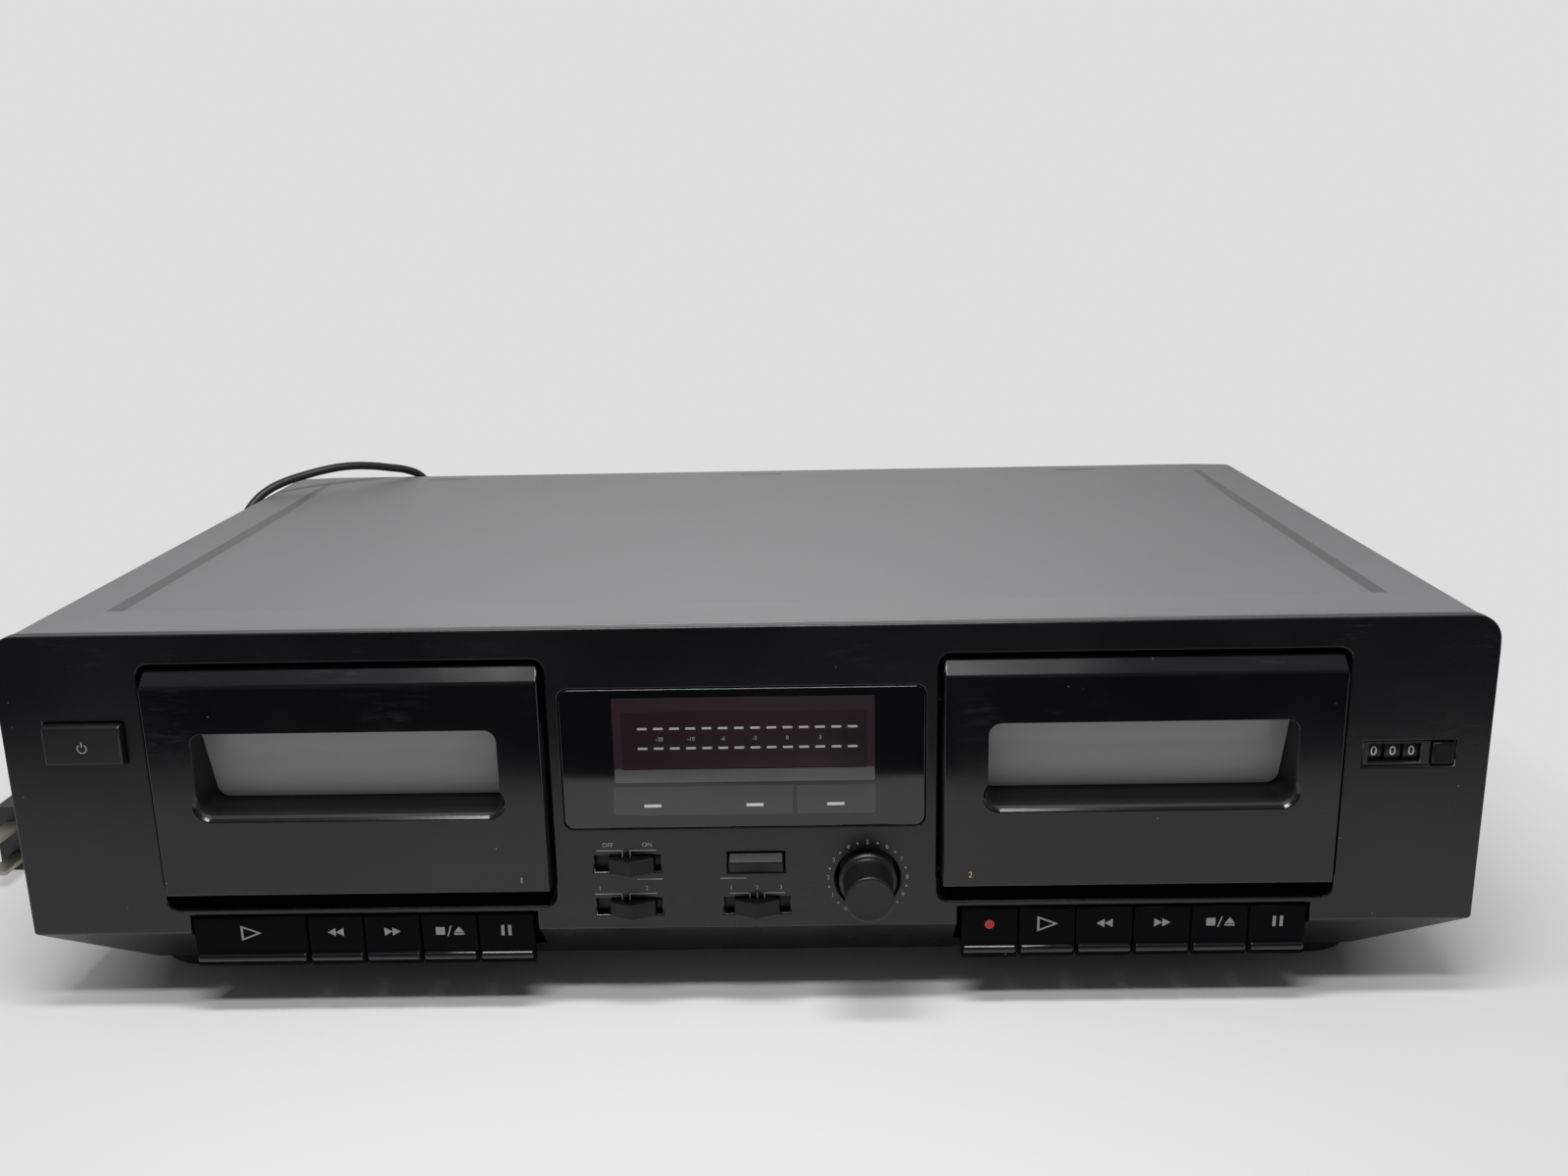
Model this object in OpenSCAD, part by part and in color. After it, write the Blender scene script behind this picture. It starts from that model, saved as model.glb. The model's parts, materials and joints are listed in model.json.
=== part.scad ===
// Double cassette deck: a wide, low hi-fi unit with two cassette doors, piano keys and a level dial.
// Frame: +X to the right seen from the front, -Y towards the user, +Z up, origin under the middle.
// Inside the modules y = 0 is the front face, and placed() moves it to its place in the frame.

/* [Body] */
// Width of the front panel
body_w = 430; // [420:1:450]
// Height of the upright front face
face_h = 93.5; // [92:0.5:110]
// Depth from the front face to the rear edge of the cover
body_d = 250; // [240:1:300]
// Height of the sloping chin under the face
chin_h = 18.5; // [17:0.5:22]
// How far the chin slopes back
chin_back = 20; // [16:0.5:22]
// How far the chin slopes in at each end
chin_side = 26; // [18:0.5:30]
// Width of the flat lip under the chin
chin_lip = 8; // [6:0.5:9]
// Wall of the moulded front panel
panel_wall = 2.5; // [2:0.1:3]
// Depth of the panel's rim over the cover
panel_rim = 4; // [3.5:0.1:6]
// Radius of the panel's top corners
corner_r = 7.5; // [5:0.5:10]
// Gap between still pieces that are fitted together
fit = 0.3; // [0.2:0.05:0.5]
// Radial clearance of a turning or sliding pin
running = 0.05; // [0.02:0.01:0.08]

/* [Cover and chassis] */
// Thickness of the steel sheets
sheet = 1; // [0.8:0.1:1.2]
// How far the cover's sides stand back from the panel's ends
cover_inset = 0.5; // [0.3:0.1:1]
// Radius of the cover's shoulders
shoulder_r = 7; // [5:0.5:9]
// Fall of the cover's top from the crease to the shoulder
shoulder_drop = 0.4; // [0.2:0.1:2]
// Distance of the crease from the panel's end
crease_in = 21; // [18:0.5:24]
// Distance of the sunk tray from the panel's end
tray_in = 22.5; // [21.5:0.5:30]
// Length of the tray's slanted walls
tray_run = 2.5; // [2:0.5:6]
// Length of the tray's gentle rise to the rear
tray_rise = 60; // [10:5:80]
// Depth of the tray
tray_depth = 1.5; // [0.8:0.1:2]
// Distance of the tray from the front face
tray_front = 26; // [20:1:40]
// Distance of the tray from the cover's rear edge
tray_rear = 14; // [13:1:20]
// Length of a hook slot near the rear edge
hook_len = 17; // [10:1:24]
// Width of a hook slot
hook_w = 2; // [1:0.5:3]
// Spacing of the three hook slots
hook_pitch = 140; // [100:5:170]
// Distance of the hook slots from the rear edge
hook_back = 9; // [7:0.5:10]
// Height of the chassis pan's side flanges
flange_h = 34; // [28:1:45]
// Thickness of the rear panel
rear_t = 1.2; // [1:0.1:2]
// How far the rear panel sits inside the cover
rear_in = 1; // [0.5:0.1:2]
// Height of the feet
foot_h = 8; // [7:0.5:12]
// Radius of a foot
foot_r = 19; // [14:0.5:22]
// Distance of the feet from the panel's ends
foot_in = 37; // [33:1:50]
// Distance of the front feet behind the face
foot_front = 46; // [42:1:60]
// Distance of the rear feet from the rear edge
foot_rear = 35; // [28:1:60]
// Radius of a screw's shank
screw_r = 1.5; // [1.2:0.1:1.8]
// Radius of a screw's head
screw_head_r = 3.2; // [2.6:0.1:3.6]
// Height of a screw's head
screw_head_h = 1.6; // [1:0.1:2.2]

/* [Doors] */
// Share of the width beside the two door openings that each end of the panel takes
end_share = 0.212; // [0.205:0.001:0.22]
// Width of a door
door_w = 114; // [110:0.5:114]
// Height of a door's lower edge above the lower edge of the face
door_low = 13.3; // [12.5:0.1:14]
// Height of a door's upper edge above the lower edge of the face
door_high = 82.8; // [82:0.1:83.5]
// How far a door stands in front of the face
door_proud = 3; // [2:0.1:3.5]
// Height of the slanted band along a door's top
door_bevel = 4.3; // [2:0.1:5]
// Wall of a door
door_wall = 2.5; // [2:0.1:2.8]
// Gap between a door and the sides of its opening
door_gap = 1.5; // [1:0.1:2]
// Lower edge of the door opening above the lower edge of the face
recess_low = 7.5; // [7:0.1:8]
// Upper edge of the door opening above the lower edge of the face
recess_high = 84.5; // [84.3:0.1:86]
// Corner radius of the door opening
recess_r = 3.5; // [2:0.5:5]
// Wall around the door opening
surround_wall = 2; // [1.5:0.1:2]
// Depth of the wall around the door opening
surround_d = 16; // [14:0.5:18]
// Width of a door's window pocket
pocket_w = 88.4; // [80:0.2:92]
// Lower edge of the window pocket above the lower edge of the face
pocket_low = 38.5; // [36:0.5:42]
// Upper edge of the window pocket above the lower edge of the face
pocket_high = 64.3; // [60:0.1:66]
// Corner radius of the window pocket
pocket_r = 3.6; // [2:0.1:5]
// Height and depth of the slanted lip below the window pocket
pocket_lip = 1.5; // [0.5:0.1:1.7]
// Depth of the pane behind the face at the top of the pocket
pane_top = 5; // [4:0.1:5.2]
// Depth of the pane behind the face at the bottom of the pocket
pane_low = 13.4; // [11:0.1:13.6]
// Thickness of the pane
pane_t = 1.6; // [1.2:0.1:1.8]
// Radius of a door's hinge pin
hinge_r = 2; // [1.5:0.1:2.5]
// Depth of the hinge behind the face
hinge_y = 9; // [8:0.5:10]
// Height of the hinge above the door's lower edge
hinge_up = 1.2; // [1:0.1:2]

/* [Cassette transport] */
// Width of a cassette
cassette_w = 100.4; // [100:0.1:101]
// Thickness of a cassette
cassette_t = 12; // [11.8:0.1:12.2]
// Side play of a cassette in its holder
cassette_play = 1; // [0.5:0.1:1.2]
// Wall of a cassette holder
holder_wall = 1.2; // [1:0.1:1.4]
// Distance from a deck's middle to a reel
reel_x = 21.25; // [21:0.05:21.5]
// Height of the reels above the holder's ledges
reel_up = 29.5; // [28:0.5:31]
// Radius of a reel's spindle
spindle_r = 4.4; // [4:0.1:4.6]
// Radius of a reel's flange
reel_r = 11; // [9:0.5:13]
// Radius of a capstan
capstan_r = 1.25; // [1:0.05:1.5]
// Distance from a deck's middle to its capstan
capstan_x = 27; // [25:0.5:29]
// Height of the capstan above the holder's ledges
capstan_up = 8.5; // [8:0.1:9]
// Radius of a flywheel
flywheel_r = 20; // [16:0.5:20]
// Width of a flywheel's rim
flywheel_t = 6; // [4:0.5:6]
// Radius of a motor pulley
pulley_r = 5; // [4:0.1:6]
// Distance from a deck's middle to its motor
motor_x = 26; // [24:0.5:30]
// Height of the motor above the capstan
motor_up = 10; // [6:0.5:14]
// Radius of a motor
motor_r = 16; // [12:0.5:17]
// Length of a motor
motor_l = 24; // [18:1:30]
// Thickness of the transport's steel plates
plate_t = 1.2; // [1:0.1:1.2]
// Radius of a pinch roller
roller_r = 5.5; // [5:0.1:5.6]
// Upward travel of the head plate in play
head_travel = 6; // [4:0.5:6]

/* [Keys] */
// Spacing of the piano keys
key_pitch = 17.1; // [16:0.1:17.2]
// Gap between two keys
key_gap = 0.6; // [0.4:0.1:1]
// Upper edge of the key opening above the lower edge of the face
key_high = 5.5; // [5:0.1:5.5]
// How far the keys reach below the lower edge of the face
key_drop = 10.8; // [9:0.1:11]
// How far the keys stand in front of the face
key_proud = 0.8; // [0:0.1:2]
// Thickness of a key's front
key_wall = 3; // [2:0.1:3.5]
// Depth of the key shaft behind the face
key_shaft_y = 36; // [35.6:0.1:38]
// Radius of the key shaft
key_shaft_r = 2; // [1.5:0.1:2.5]
// Radius of the grip ridge along a key
ridge_r = 1.3; // [0.8:0.1:1.6]

/* [Controls] */
// Distance of the meter window from the door openings
meter_gap = 3.7; // [3.5:0.1:8]
// Lower edge of the meter window above the lower edge of the face
meter_low = 32.3; // [32:0.1:36]
// Upper edge of the meter window above the lower edge of the face
meter_high = 75.1; // [70:0.1:75.5]
// Thickness of the meter window
meter_t = 1.6; // [1:0.1:1.6]
// Share of the panel's end that the power button is wide
power_share = 0.544; // [0.45:0.001:0.58]
// Height of the power button
power_h = 11.9; // [9:0.1:13]
// How far the power button stands in front of the face
power_proud = 2.5; // [1:0.1:4]
// Slope along the power button's upper edge
power_slope = 1; // [0.5:0.1:2]
// Place of the power button's middle in the panel's end, as a share of it from the outside
power_in = 0.585; // [0.56:0.001:0.6]
// Height of the power button's middle above the lower edge of the face
power_up = 61.2; // [55:0.1:70]
// Travel of the power button
power_travel = 3; // [2:0.1:4]
// Width of a slide switch's slot
slot_w = 19.6; // [18:0.1:20]
// Height of a slide switch's slot
slot_h = 5.3; // [4.5:0.1:5.5]
// Place of the left switches, as a share of half the panel between the door openings
switch_share = 0.62; // [0.6:0.005:0.64]
// Place of the middle switches, as a share of half the panel between the door openings
switch_mid_share = 0.055; // [0.03:0.005:0.07]
// Height of the upper switches above the lower edge of the face
switch_up = 20.8; // [20:0.1:22]
// Height of the lower switches above the lower edge of the face
switch_low = 6.9; // [6.5:0.1:8]
// Distance between two places of a slide switch
slider_step = 2.2; // [1.5:0.1:2.4]
// Distance of a two-place switch's places from its middle
slider_shift = 1.2; // [1:0.1:2.2]
// Width of a slide switch's knob
slider_w = 13.4; // [10:0.1:14]
// How far a slide switch's knob stands in front of the face
slider_proud = 4.5; // [3:0.1:6]
// Width of the dubbing button
dubbing_w = 16.2; // [12:0.1:17]
// Height of the dubbing button
dubbing_h = 5.8; // [5:0.1:6]
// How far the dubbing button's crest stands in front of the face
dubbing_proud = 3.2; // [2.5:0.1:4]
// How far the dubbing button's lower edge stands in front of the face
dubbing_low = 1; // [0.5:0.1:2]
// How far the dubbing button's crest lies below its upper edge
dubbing_fall = 1.6; // [0.4:0.1:2.5]
// Travel of the dubbing button
dubbing_travel = 2.5; // [2:0.1:3]
// Place of the level dial, as a share of half the panel between the door openings
dial_share = 0.638; // [0.61:0.001:0.65]
// Height of the level dial above the lower edge of the face
dial_up = 15.1; // [14:0.1:16]
// Radius of the hole around the level knob
dial_hole_r = 9.6; // [9:0.1:10]
// Radius of the level knob's skirt
knob_r = 8.7; // [8:0.1:8.8]
// Radius of the level knob's front
knob_front_r = 7.1; // [6:0.1:8]
// How far the level knob stands in front of the face
knob_out = 14; // [10:0.5:18]
// Radius of the level control's shaft
pot_shaft_r = 3; // [2:0.1:3.2]
// Place of the tape counter's middle in the panel's end, as a share of it from the outside
counter_in = 0.549; // [0.53:0.001:0.56]
// Height of the tape counter's middle above the lower edge of the face
counter_up = 52.3; // [48:0.1:60]
// Share of the panel's end that the tape counter's opening is wide
counter_share = 0.64; // [0.63:0.001:0.65]
// Height of the tape counter's opening
counter_h = 7.8; // [7.4:0.1:9]
// Radius of a counter wheel
wheel_r = 7.6; // [7:0.1:8]
// Width of a counter wheel as a share of the wheels' spacing
wheel_share = 0.85; // [0.75:0.01:0.9]
// Spacing of the counter wheels as a share of the panel's end
wheel_pitch_share = 0.13; // [0.127:0.001:0.132]
// Width of the counter's reset button as a share of the panel's end
reset_share = 0.149; // [0.12:0.001:0.153]
// Height of the counter's reset button
reset_h = 6.4; // [5:0.1:6.6]
// Travel of the counter's reset button
reset_travel = 2; // [1:0.1:2.5]

/* [Rear and cord] */
// Outer radius of a phono jack's sleeve
jack_r = 4.15; // [4.1:0.05:4.2]
// Radius of a phono jack's contact hole
jack_bore_r = 1.65; // [1.5:0.05:1.8]
// How far a phono jack stands out of the rear panel
jack_out = 8; // [6:0.5:10]
// Distance of the phono jacks to the right of the middle
jack_x = 80; // [40:1:150]
// Height of the phono jacks' middle above the chassis
jack_up = 54; // [40:1:70]
// Distance of the cord's gland to the left of the middle
gland_x = 150; // [150:1:151]
// Height of the cord's gland above the feet's underside
gland_z = 45; // [45:1:46]
// Length of the tapered strain relief behind the rear panel
relief_l = 25; // [25:1:26]
// Spacing of the phono jacks
jack_pitch = 14; // [12:0.5:20]
// Diameter of the mains cord
cord_d = 3.5; // [3:0.1:3.5]
// Loops in the put-away coil
coil_turns = 9.25; // [7.25:1:10.25]
// Layers in the put-away coil
coil_layers = 4; // [2, 4]
// Radius at the middle of the coil's loops
coil_r = 20; // [19:0.5:21]
// Free space between two loops of the coil
coil_space = 1; // [0.9:0.1:1.2]

/* [Hidden] */
$fn = 64;
half_w = body_w / 2;
base_z = foot_h;
face_z = base_z + chin_h;
top_z = face_z + face_h;
lip_back = chin_back + chin_lip;
cover_half = half_w - cover_inset;
inner_half = cover_half - sheet - fit;
rear_y = body_d - rear_in;
pan_top = base_z + sheet;
face_y = (knob_out - rear_y - jack_out) / 2;

// Places that follow from the sizes above
opening_w = door_w + 2 * door_gap;
end_w = end_share * (body_w - 2 * opening_w);
deck_x = half_w - end_w - opening_w / 2;
centre_half = deck_x - opening_w / 2;
meter_w = 2 * (centre_half - meter_gap);
power_x = half_w - power_in * end_w;
power_w = power_share * end_w;
switch_x = switch_share * centre_half;
switch_mid_x = switch_mid_share * centre_half;
dial_x = dial_share * centre_half;
counter_x = half_w - counter_in * end_w;
counter_w = counter_share * end_w;
wheel_pitch = wheel_pitch_share * end_w;
wheel_w = wheel_share * wheel_pitch;
reset_w = reset_share * end_w;
foot_x = half_w - foot_in;
surround_w = opening_w + 2 * surround_wall;
recess_z = face_z + recess_low;
recess_h = recess_high - recess_low;
door_z = face_z + door_low;
door_top = face_z + door_high;
hinge_z = door_z + hinge_up;
pocket_z = face_z + pocket_low;
pocket_top = face_z + pocket_high;
pane_edge = 1.5;
pocket_wall = 1.8;
pane_slope = (pane_low - pane_top) / (pocket_high - pocket_low);
pane_depth = pane_t * sqrt(1 + pane_slope * pane_slope);
door_back = pane_low + pane_edge * pane_slope + pane_depth + fit;
room_y = door_back + holder_wall;
holder_back = room_y + cassette_t + cassette_play + holder_wall;
holder_half = cassette_w / 2 + cassette_play;
ledge_up = 3.7;
ledge_t = 2;
ledge_w = 11;
channel_w = 7;
holder_short = 4.3;
ledge_z = door_z + ledge_up;
tip_room = 6.5;
tip_y = room_y + tip_room;
transport_gap = 1.7;
mech_y = holder_back + transport_gap;
mech_half = opening_w / 2;
reel_z = ledge_z + reel_up;
capstan_z = ledge_z + capstan_up;
roller_z = capstan_z - capstan_r - roller_r - fit - head_travel;
bearing_l = 8;
fly_y = mech_y + plate_t + bearing_l + fit;
bridge_y = fly_y + flywheel_t + 4;
motor_z = capstan_z + motor_up;
motor_shaft_r = 1;
rib_h = 0.9;
rib_w = 1.4;
head_gap = 0.8;
head_y = mech_y - head_gap - plate_t;
head_half = 38;
head_w = 14;
guide_x = head_half - 6;
pin_r = 1.5;
roller_pin_r = 1.2;
frame_edge = 8;
bearing_wall = 2.5;
belt_t = 0.8;
head_top = capstan_z - capstan_r - head_travel - fit - 0.5;
key_top_gap = 0.5;
key_z = face_z - key_drop;
key_top = face_z + key_high - key_top_gap;
key_arm = 7.5;
ridge_up = 3;
ridge_short = 0.5;
key_shaft_z = key_top - 4.5;
key_boss_r = key_shaft_r + 2;
key_bank = 3 * key_pitch;
plate_foot = key_top + 2.5;
board_y = 20;
board_t = 1.6;
board_edge = 3;
board_out = 12;
meter_tube = 14.5;
lamp_top = 13;
lamp_in = 18.4;
lamp_half = centre_half - lamp_in;
lamp_gap = 1.5;
can_pitch = 28;
can_h = 20;
can_r = 6;
chip_size = [25, 8, 5];
core_in = 55;
core_back = 63;
core_mid = [core_in - half_w, body_d - core_back];
core_size = [44, 34, 43];
core_foot = 3;
winding_size = [24, 50, 29];
boss_r = 2.5;
boss_off = 4;
boss_in = 9.4;
boss_x = centre_half - boss_in;
meter_proud = 0.2;
meter_ledge = 1.5;
meter_r = 3;
wheels_x = counter_x - 0.76 * wheel_pitch;
counter_sunk = 0.6;
counter_rim = 0.4 * wheel_pitch;
counter_plate = 1.2;
counter_view = 2.9;
cheek_t = 1.2;
cheek_half = 8;
wheel_y = counter_sunk + 1.6 + wheel_r;
counter_z = face_z + counter_up;
axle_r = 1;
stem_half = 1.5;
stem_y = 8.5;
stem_in = 2;
switch_half = 11;
switch_high = 3.5;
push_half = 7;
push_back = 7;
power_body = 30;
pot_half = 8;
pot_end = 17;
reset_x = counter_x + 1.76 * wheel_pitch;
reset_proud = 0.4;
reset_back = 8;
dial_z = face_z + dial_up;
gland_r = 5;
gland_lip = 2.5;
relief_wall = 0.9;
jack_edge = 8;
jack_block = 12;
cord_r = cord_d / 2;
screw_l = 6;
foot_web = 3;
foot_taper = 1;
foot_room = 2;
side_screw_up = 20;
side_screw_z = pan_top + side_screw_up;
side_screw_front = 70;
side_screw_rear = 35;
side_screw_y = [side_screw_front, body_d - side_screw_rear];
rear_screw_up = 8;
rear_screw_z = pan_top + rear_screw_up;
rear_screw_in = 20;
rear_screw_x = [for (k = [-1, -1 / 3, 1 / 3, 1]) k * (half_w - rear_screw_in)];
foot_y = [foot_front, body_d - foot_rear];
board_w = 190;
board_left = 40;
board_front = 130;
board_rear = 25;
post_x = [-board_left, board_w - board_left];
post_y = [body_d - board_front, body_d - board_rear];
post_h = 9;
post_r = 3;
pan_back_h = 16;
skin = 1;

// Knots of the cord's free stretch: a bow behind the gland, over the rear corner, down the side to the floor
bow_r = 15;
cord_off = 0.75;
relief_y = rear_y + relief_l;
side_x = -cover_half - cord_r - cord_off;
side_back = 55;
side_y = body_d - side_back;
over_z = top_z + cord_r;
floor_z = cord_r + 0.05;
lead_bow = [
    for (a = [0:45:135]) [-gland_x, relief_y + cord_d + bow_r * sin(a), gland_z + bow_r * (1 - cos(a))]
];
lead_over = [
    [-gland_x - 1, body_d + 12, over_z - 17.2], [-gland_x - 6, body_d + 5.8, over_z - 2.5],
    [-gland_x - 17, body_d - 3.5, over_z + 3.1], [-gland_x - 32, body_d - 15.5, over_z + 6.1],
    [side_x + 19.5, body_d - 26, over_z + 4.3], [side_x + 6.8, body_d - 37.2, over_z]
];
lead_down = [
    [side_x - 0.6, side_y + 9, over_z - 9.2], [side_x - 1.4, side_y + 3, over_z - 24],
    [side_x - 0.4, side_y + 0.5, over_z - 39], [side_x, side_y, 56], [side_x - 1.5, side_y, 30],
    [side_x - 8, side_y, 14], [side_x - 19, side_y, 4], [side_x - 34, side_y, floor_z]
];
lead_route = smooth(concat([[-gland_x, relief_y, gland_z]], lead_bow, lead_over, lead_down));
coil_pitch = cord_d + coil_space;
layer_turns = (coil_turns - (coil_layers - 1) / 2) / coil_layers;
coil_out = coil_r + layer_turns * coil_pitch / 2;
coil_in = coil_r - layer_turns * coil_pitch / 2;
coil_end = lead_route[len(lead_route) - 1];
coil_mid = [coil_end.x, coil_end.y - coil_out];
coil_top = coil_end.z + (coil_layers - 1) * coil_pitch;
plug_x = coil_mid.x - coil_out;
plug_w = 15;
plug_h = 25.3;
plug_z = plug_h / 2;
plug_back = 150;
plug_y = body_d - plug_back;
plug_l = 24;
plug_relief = 18;
blade_gap = 12.7;
blade_l = 16;
blade_w = 6.35;
blade_t = 1.5;
tail_y = coil_mid.y - cord_d;
plug_end = plug_y + plug_l + plug_relief;
tail_route = smooth([
    [plug_x, tail_y - fit, coil_top], [plug_x, tail_y - cord_d, coil_top],
    [plug_x, plug_end + cord_d, plug_z], [plug_x, plug_end + fit, plug_z]
]);

// Moves a piece from the front face's own coordinates into the part's frame
module placed() translate([0, face_y, 0]) children();

// Extrudes an outline drawn in x and z from y0 back to y1
module along_y(y0, y1) translate([0, y1, 0]) rotate([90, 0, 0]) linear_extrude(y1 - y0) children();

// Extrudes an outline drawn in y and z from x0 to x1
module along_x(x0, x1) translate([x0, 0, 0]) rotate([90, 0, 90]) linear_extrude(x1 - x0) children();

// Round bar or bore along y
module rod_y(x, z, r, y0, y1) translate([x, y1, z]) rotate([90, 0, 0]) cylinder(h = y1 - y0, r = r);

// Round bar or bore along x
module rod_x(y, z, r, x0, x1) translate([x0, y, z]) rotate([0, 90, 0]) cylinder(h = x1 - x0, r = r);

// Box from one corner to the other
module block(from, to) translate(from) cube(to - from);

// Rectangle with round corners around its middle
module rounded(w, h, r) {
    square([w - 2 * r, h], center = true);
    square([w, h - 2 * r], center = true);
    for (sx = [-1, 1], sy = [-1, 1])
        translate([sx * (w / 2 - r), sy * (h / 2 - r)]) circle(r);
}

// Block with hipped sides: half widths, fronts and backs at its upper and lower level
module hipped(half_hi, half_lo, front_hi, front_lo, back_hi, back_lo, z_lo, z_hi) {
    half = max(half_hi, half_lo);
    intersection() {
        along_y(min(front_hi, front_lo), max(back_hi, back_lo))
            polygon([[-half_hi, z_hi], [half_hi, z_hi], [half_lo, z_lo], [-half_lo, z_lo]]);
        along_x(-half, half)
            polygon([[front_hi, z_hi], [back_hi, z_hi], [back_lo, z_lo], [front_lo, z_lo]]);
    }
}

// Section of the cover in x and z, moved in by a distance
module cover_outline(inset, low) {
    half = cover_half - inset;
    arc_x = cover_half - shoulder_r;
    arc_z = top_z - shoulder_drop - shoulder_r;
    crease_x = half_w - crease_in;
    arc_top = arc_z + shoulder_r - inset;
    translate([-half, low]) square([2 * half, arc_z - low]);
    polygon([
        [-arc_x, low], [-arc_x, arc_top], [-crease_x, top_z - inset],
        [crease_x, top_z - inset], [arc_x, arc_top], [arc_x, low]
    ]);
    for (side = [-1, 1])
        translate([side * arc_x, arc_z]) circle(shoulder_r - inset);
}

// Outline of the upright face in x and z, moved in by a distance
module face_outline(inset) {
    r = corner_r - inset;
    half = half_w - inset;
    translate([-half, face_z]) square([2 * half, face_h - corner_r]);
    translate([r - half, face_z]) square([2 * (half - r), face_h - inset]);
    for (side = [-1, 1])
        translate([side * (half - r), top_z - corner_r]) circle(r);
}

// One screw along +z with its head under z = 0
module screw(length) {
    translate([0, 0, -screw_head_h]) cylinder(h = screw_head_h, r = screw_head_r);
    cylinder(h = length, r = screw_r);
}

// Runs its child at each foot's place
module at_feet() for (side = [-1, 1], y = foot_y) translate([side * foot_x, y, 0]) children();

// Runs its child at each side screw, with +z pointing inwards
module at_side_screws()
    for (side = [-1, 1], y = side_screw_y)
        translate([side * cover_half, y, side_screw_z]) rotate([0, -90 * side, 0]) children();

// Runs its child at each rear screw, with +z pointing inwards
module at_rear_screws()
    for (x = rear_screw_x)
        translate([x, rear_y, rear_screw_z]) rotate([90, 0, 0]) children();

// Runs its child at each phono jack, with +z pointing out of the rear panel
module at_jacks()
    for (sx = [-1, 1], sz = [-1, 1])
        translate([jack_x + sx * jack_pitch / 2, rear_y, pan_top + jack_up + sz * jack_pitch / 2])
            rotate([-90, 0, 0]) children();

// Runs its child for each deck's middle
module at_decks() for (side = [-1, 1]) translate([side * deck_x, 0, 0]) children();

module chassis_pan() color("silver") placed() difference() {
    union() {
        translate([0, 0, base_z]) linear_extrude(sheet) polygon([
            [chin_side - half_w, lip_back + fit], [half_w - chin_side, lip_back + fit],
            [inner_half, foot_front], [inner_half, rear_y - rear_t],
            [-inner_half, rear_y - rear_t], [-inner_half, foot_front]
        ]);
        for (side = [-1, 1])
            block([side * (inner_half - sheet / 2) - sheet / 2, foot_front, base_z],
                [side * (inner_half - sheet / 2) + sheet / 2, rear_y - rear_t, base_z + flange_h]);
        block([-inner_half, rear_y - rear_t - sheet, base_z],
            [inner_half, rear_y - rear_t, base_z + pan_back_h]);
        for (x = post_x, y = post_y)
            translate([x, y, base_z]) cylinder(h = sheet + post_h, r = post_r);
    }
    at_feet() cylinder(h = top_z, r = screw_r + running);
    at_side_screws() cylinder(h = screw_l, r = screw_r + running);
    at_rear_screws() cylinder(h = screw_l, r = screw_r + running);
}

module rear_panel() color("dimgray") placed() difference() {
    arc_x = cover_half - shoulder_r;
    arc_z = top_z - shoulder_drop - shoulder_r;
    arc_r = shoulder_r - sheet - fit;
    roof = [half_w - crease_in, top_z - sheet - fit];
    left = [for (a = [180:-15:90]) [arc_r * cos(a) - arc_x, arc_z + arc_r * sin(a)]];
    right = [for (a = [90:-15:0]) [arc_r * cos(a) + arc_x, arc_z + arc_r * sin(a)]];
    along_y(rear_y - rear_t, rear_y)
        polygon(concat(
            [[-inner_half, base_z]], left, [[-roof.x, roof.y], roof], right, [[inner_half, base_z]]
        ));
    at_jacks() translate([0, 0, -2 * rear_t]) cylinder(h = 4 * rear_t, r = jack_r + fit);
    rod_y(-gland_x, gland_z, gland_r + running, rear_y - 2 * rear_t, rear_y + rear_t);
    at_rear_screws() translate([0, 0, -rear_t]) cylinder(h = 3 * rear_t, r = screw_r + fit);
}

module top_cover() color("darkslategray") placed() {
    front = panel_rim + fit;
    low = base_z + 2 * sheet;
    tray_half = half_w - tray_in;
    tray_back = body_d - tray_rear;
    difference() {
        union() {
            difference() {
                along_y(front, body_d) cover_outline(0, low);
                along_y(front - skin, body_d + skin) cover_outline(sheet, low - skin);
            }
            hipped(tray_half + sheet, tray_half - tray_run + sheet, tray_front - sheet,
                tray_front + tray_run - sheet, tray_back + sheet, tray_back - tray_rise + sheet,
                top_z - tray_depth - sheet, top_z - sheet / 2);
        }
        hipped(tray_half, tray_half - tray_run, tray_front, tray_front + tray_run, tray_back,
            tray_back - tray_rise, top_z - tray_depth, top_z);
        block([-tray_half, tray_front, top_z], [tray_half, tray_back, top_z + skin]);
        for (i = [-1:1])
            translate([i * hook_pitch, body_d - hook_back, top_z])
                cube([hook_len, hook_w, 6 * sheet], center = true);
        along_x(-half_w, half_w)
            polygon([
                [front - skin, face_z + fit], [lip_back + fit, face_z + fit],
                [foot_front, low - skin], [front - skin, low - skin]
            ]);
        at_side_screws() translate([0, 0, -skin]) cylinder(h = 2 * skin + sheet, r = screw_r + fit);
    }
}

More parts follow.
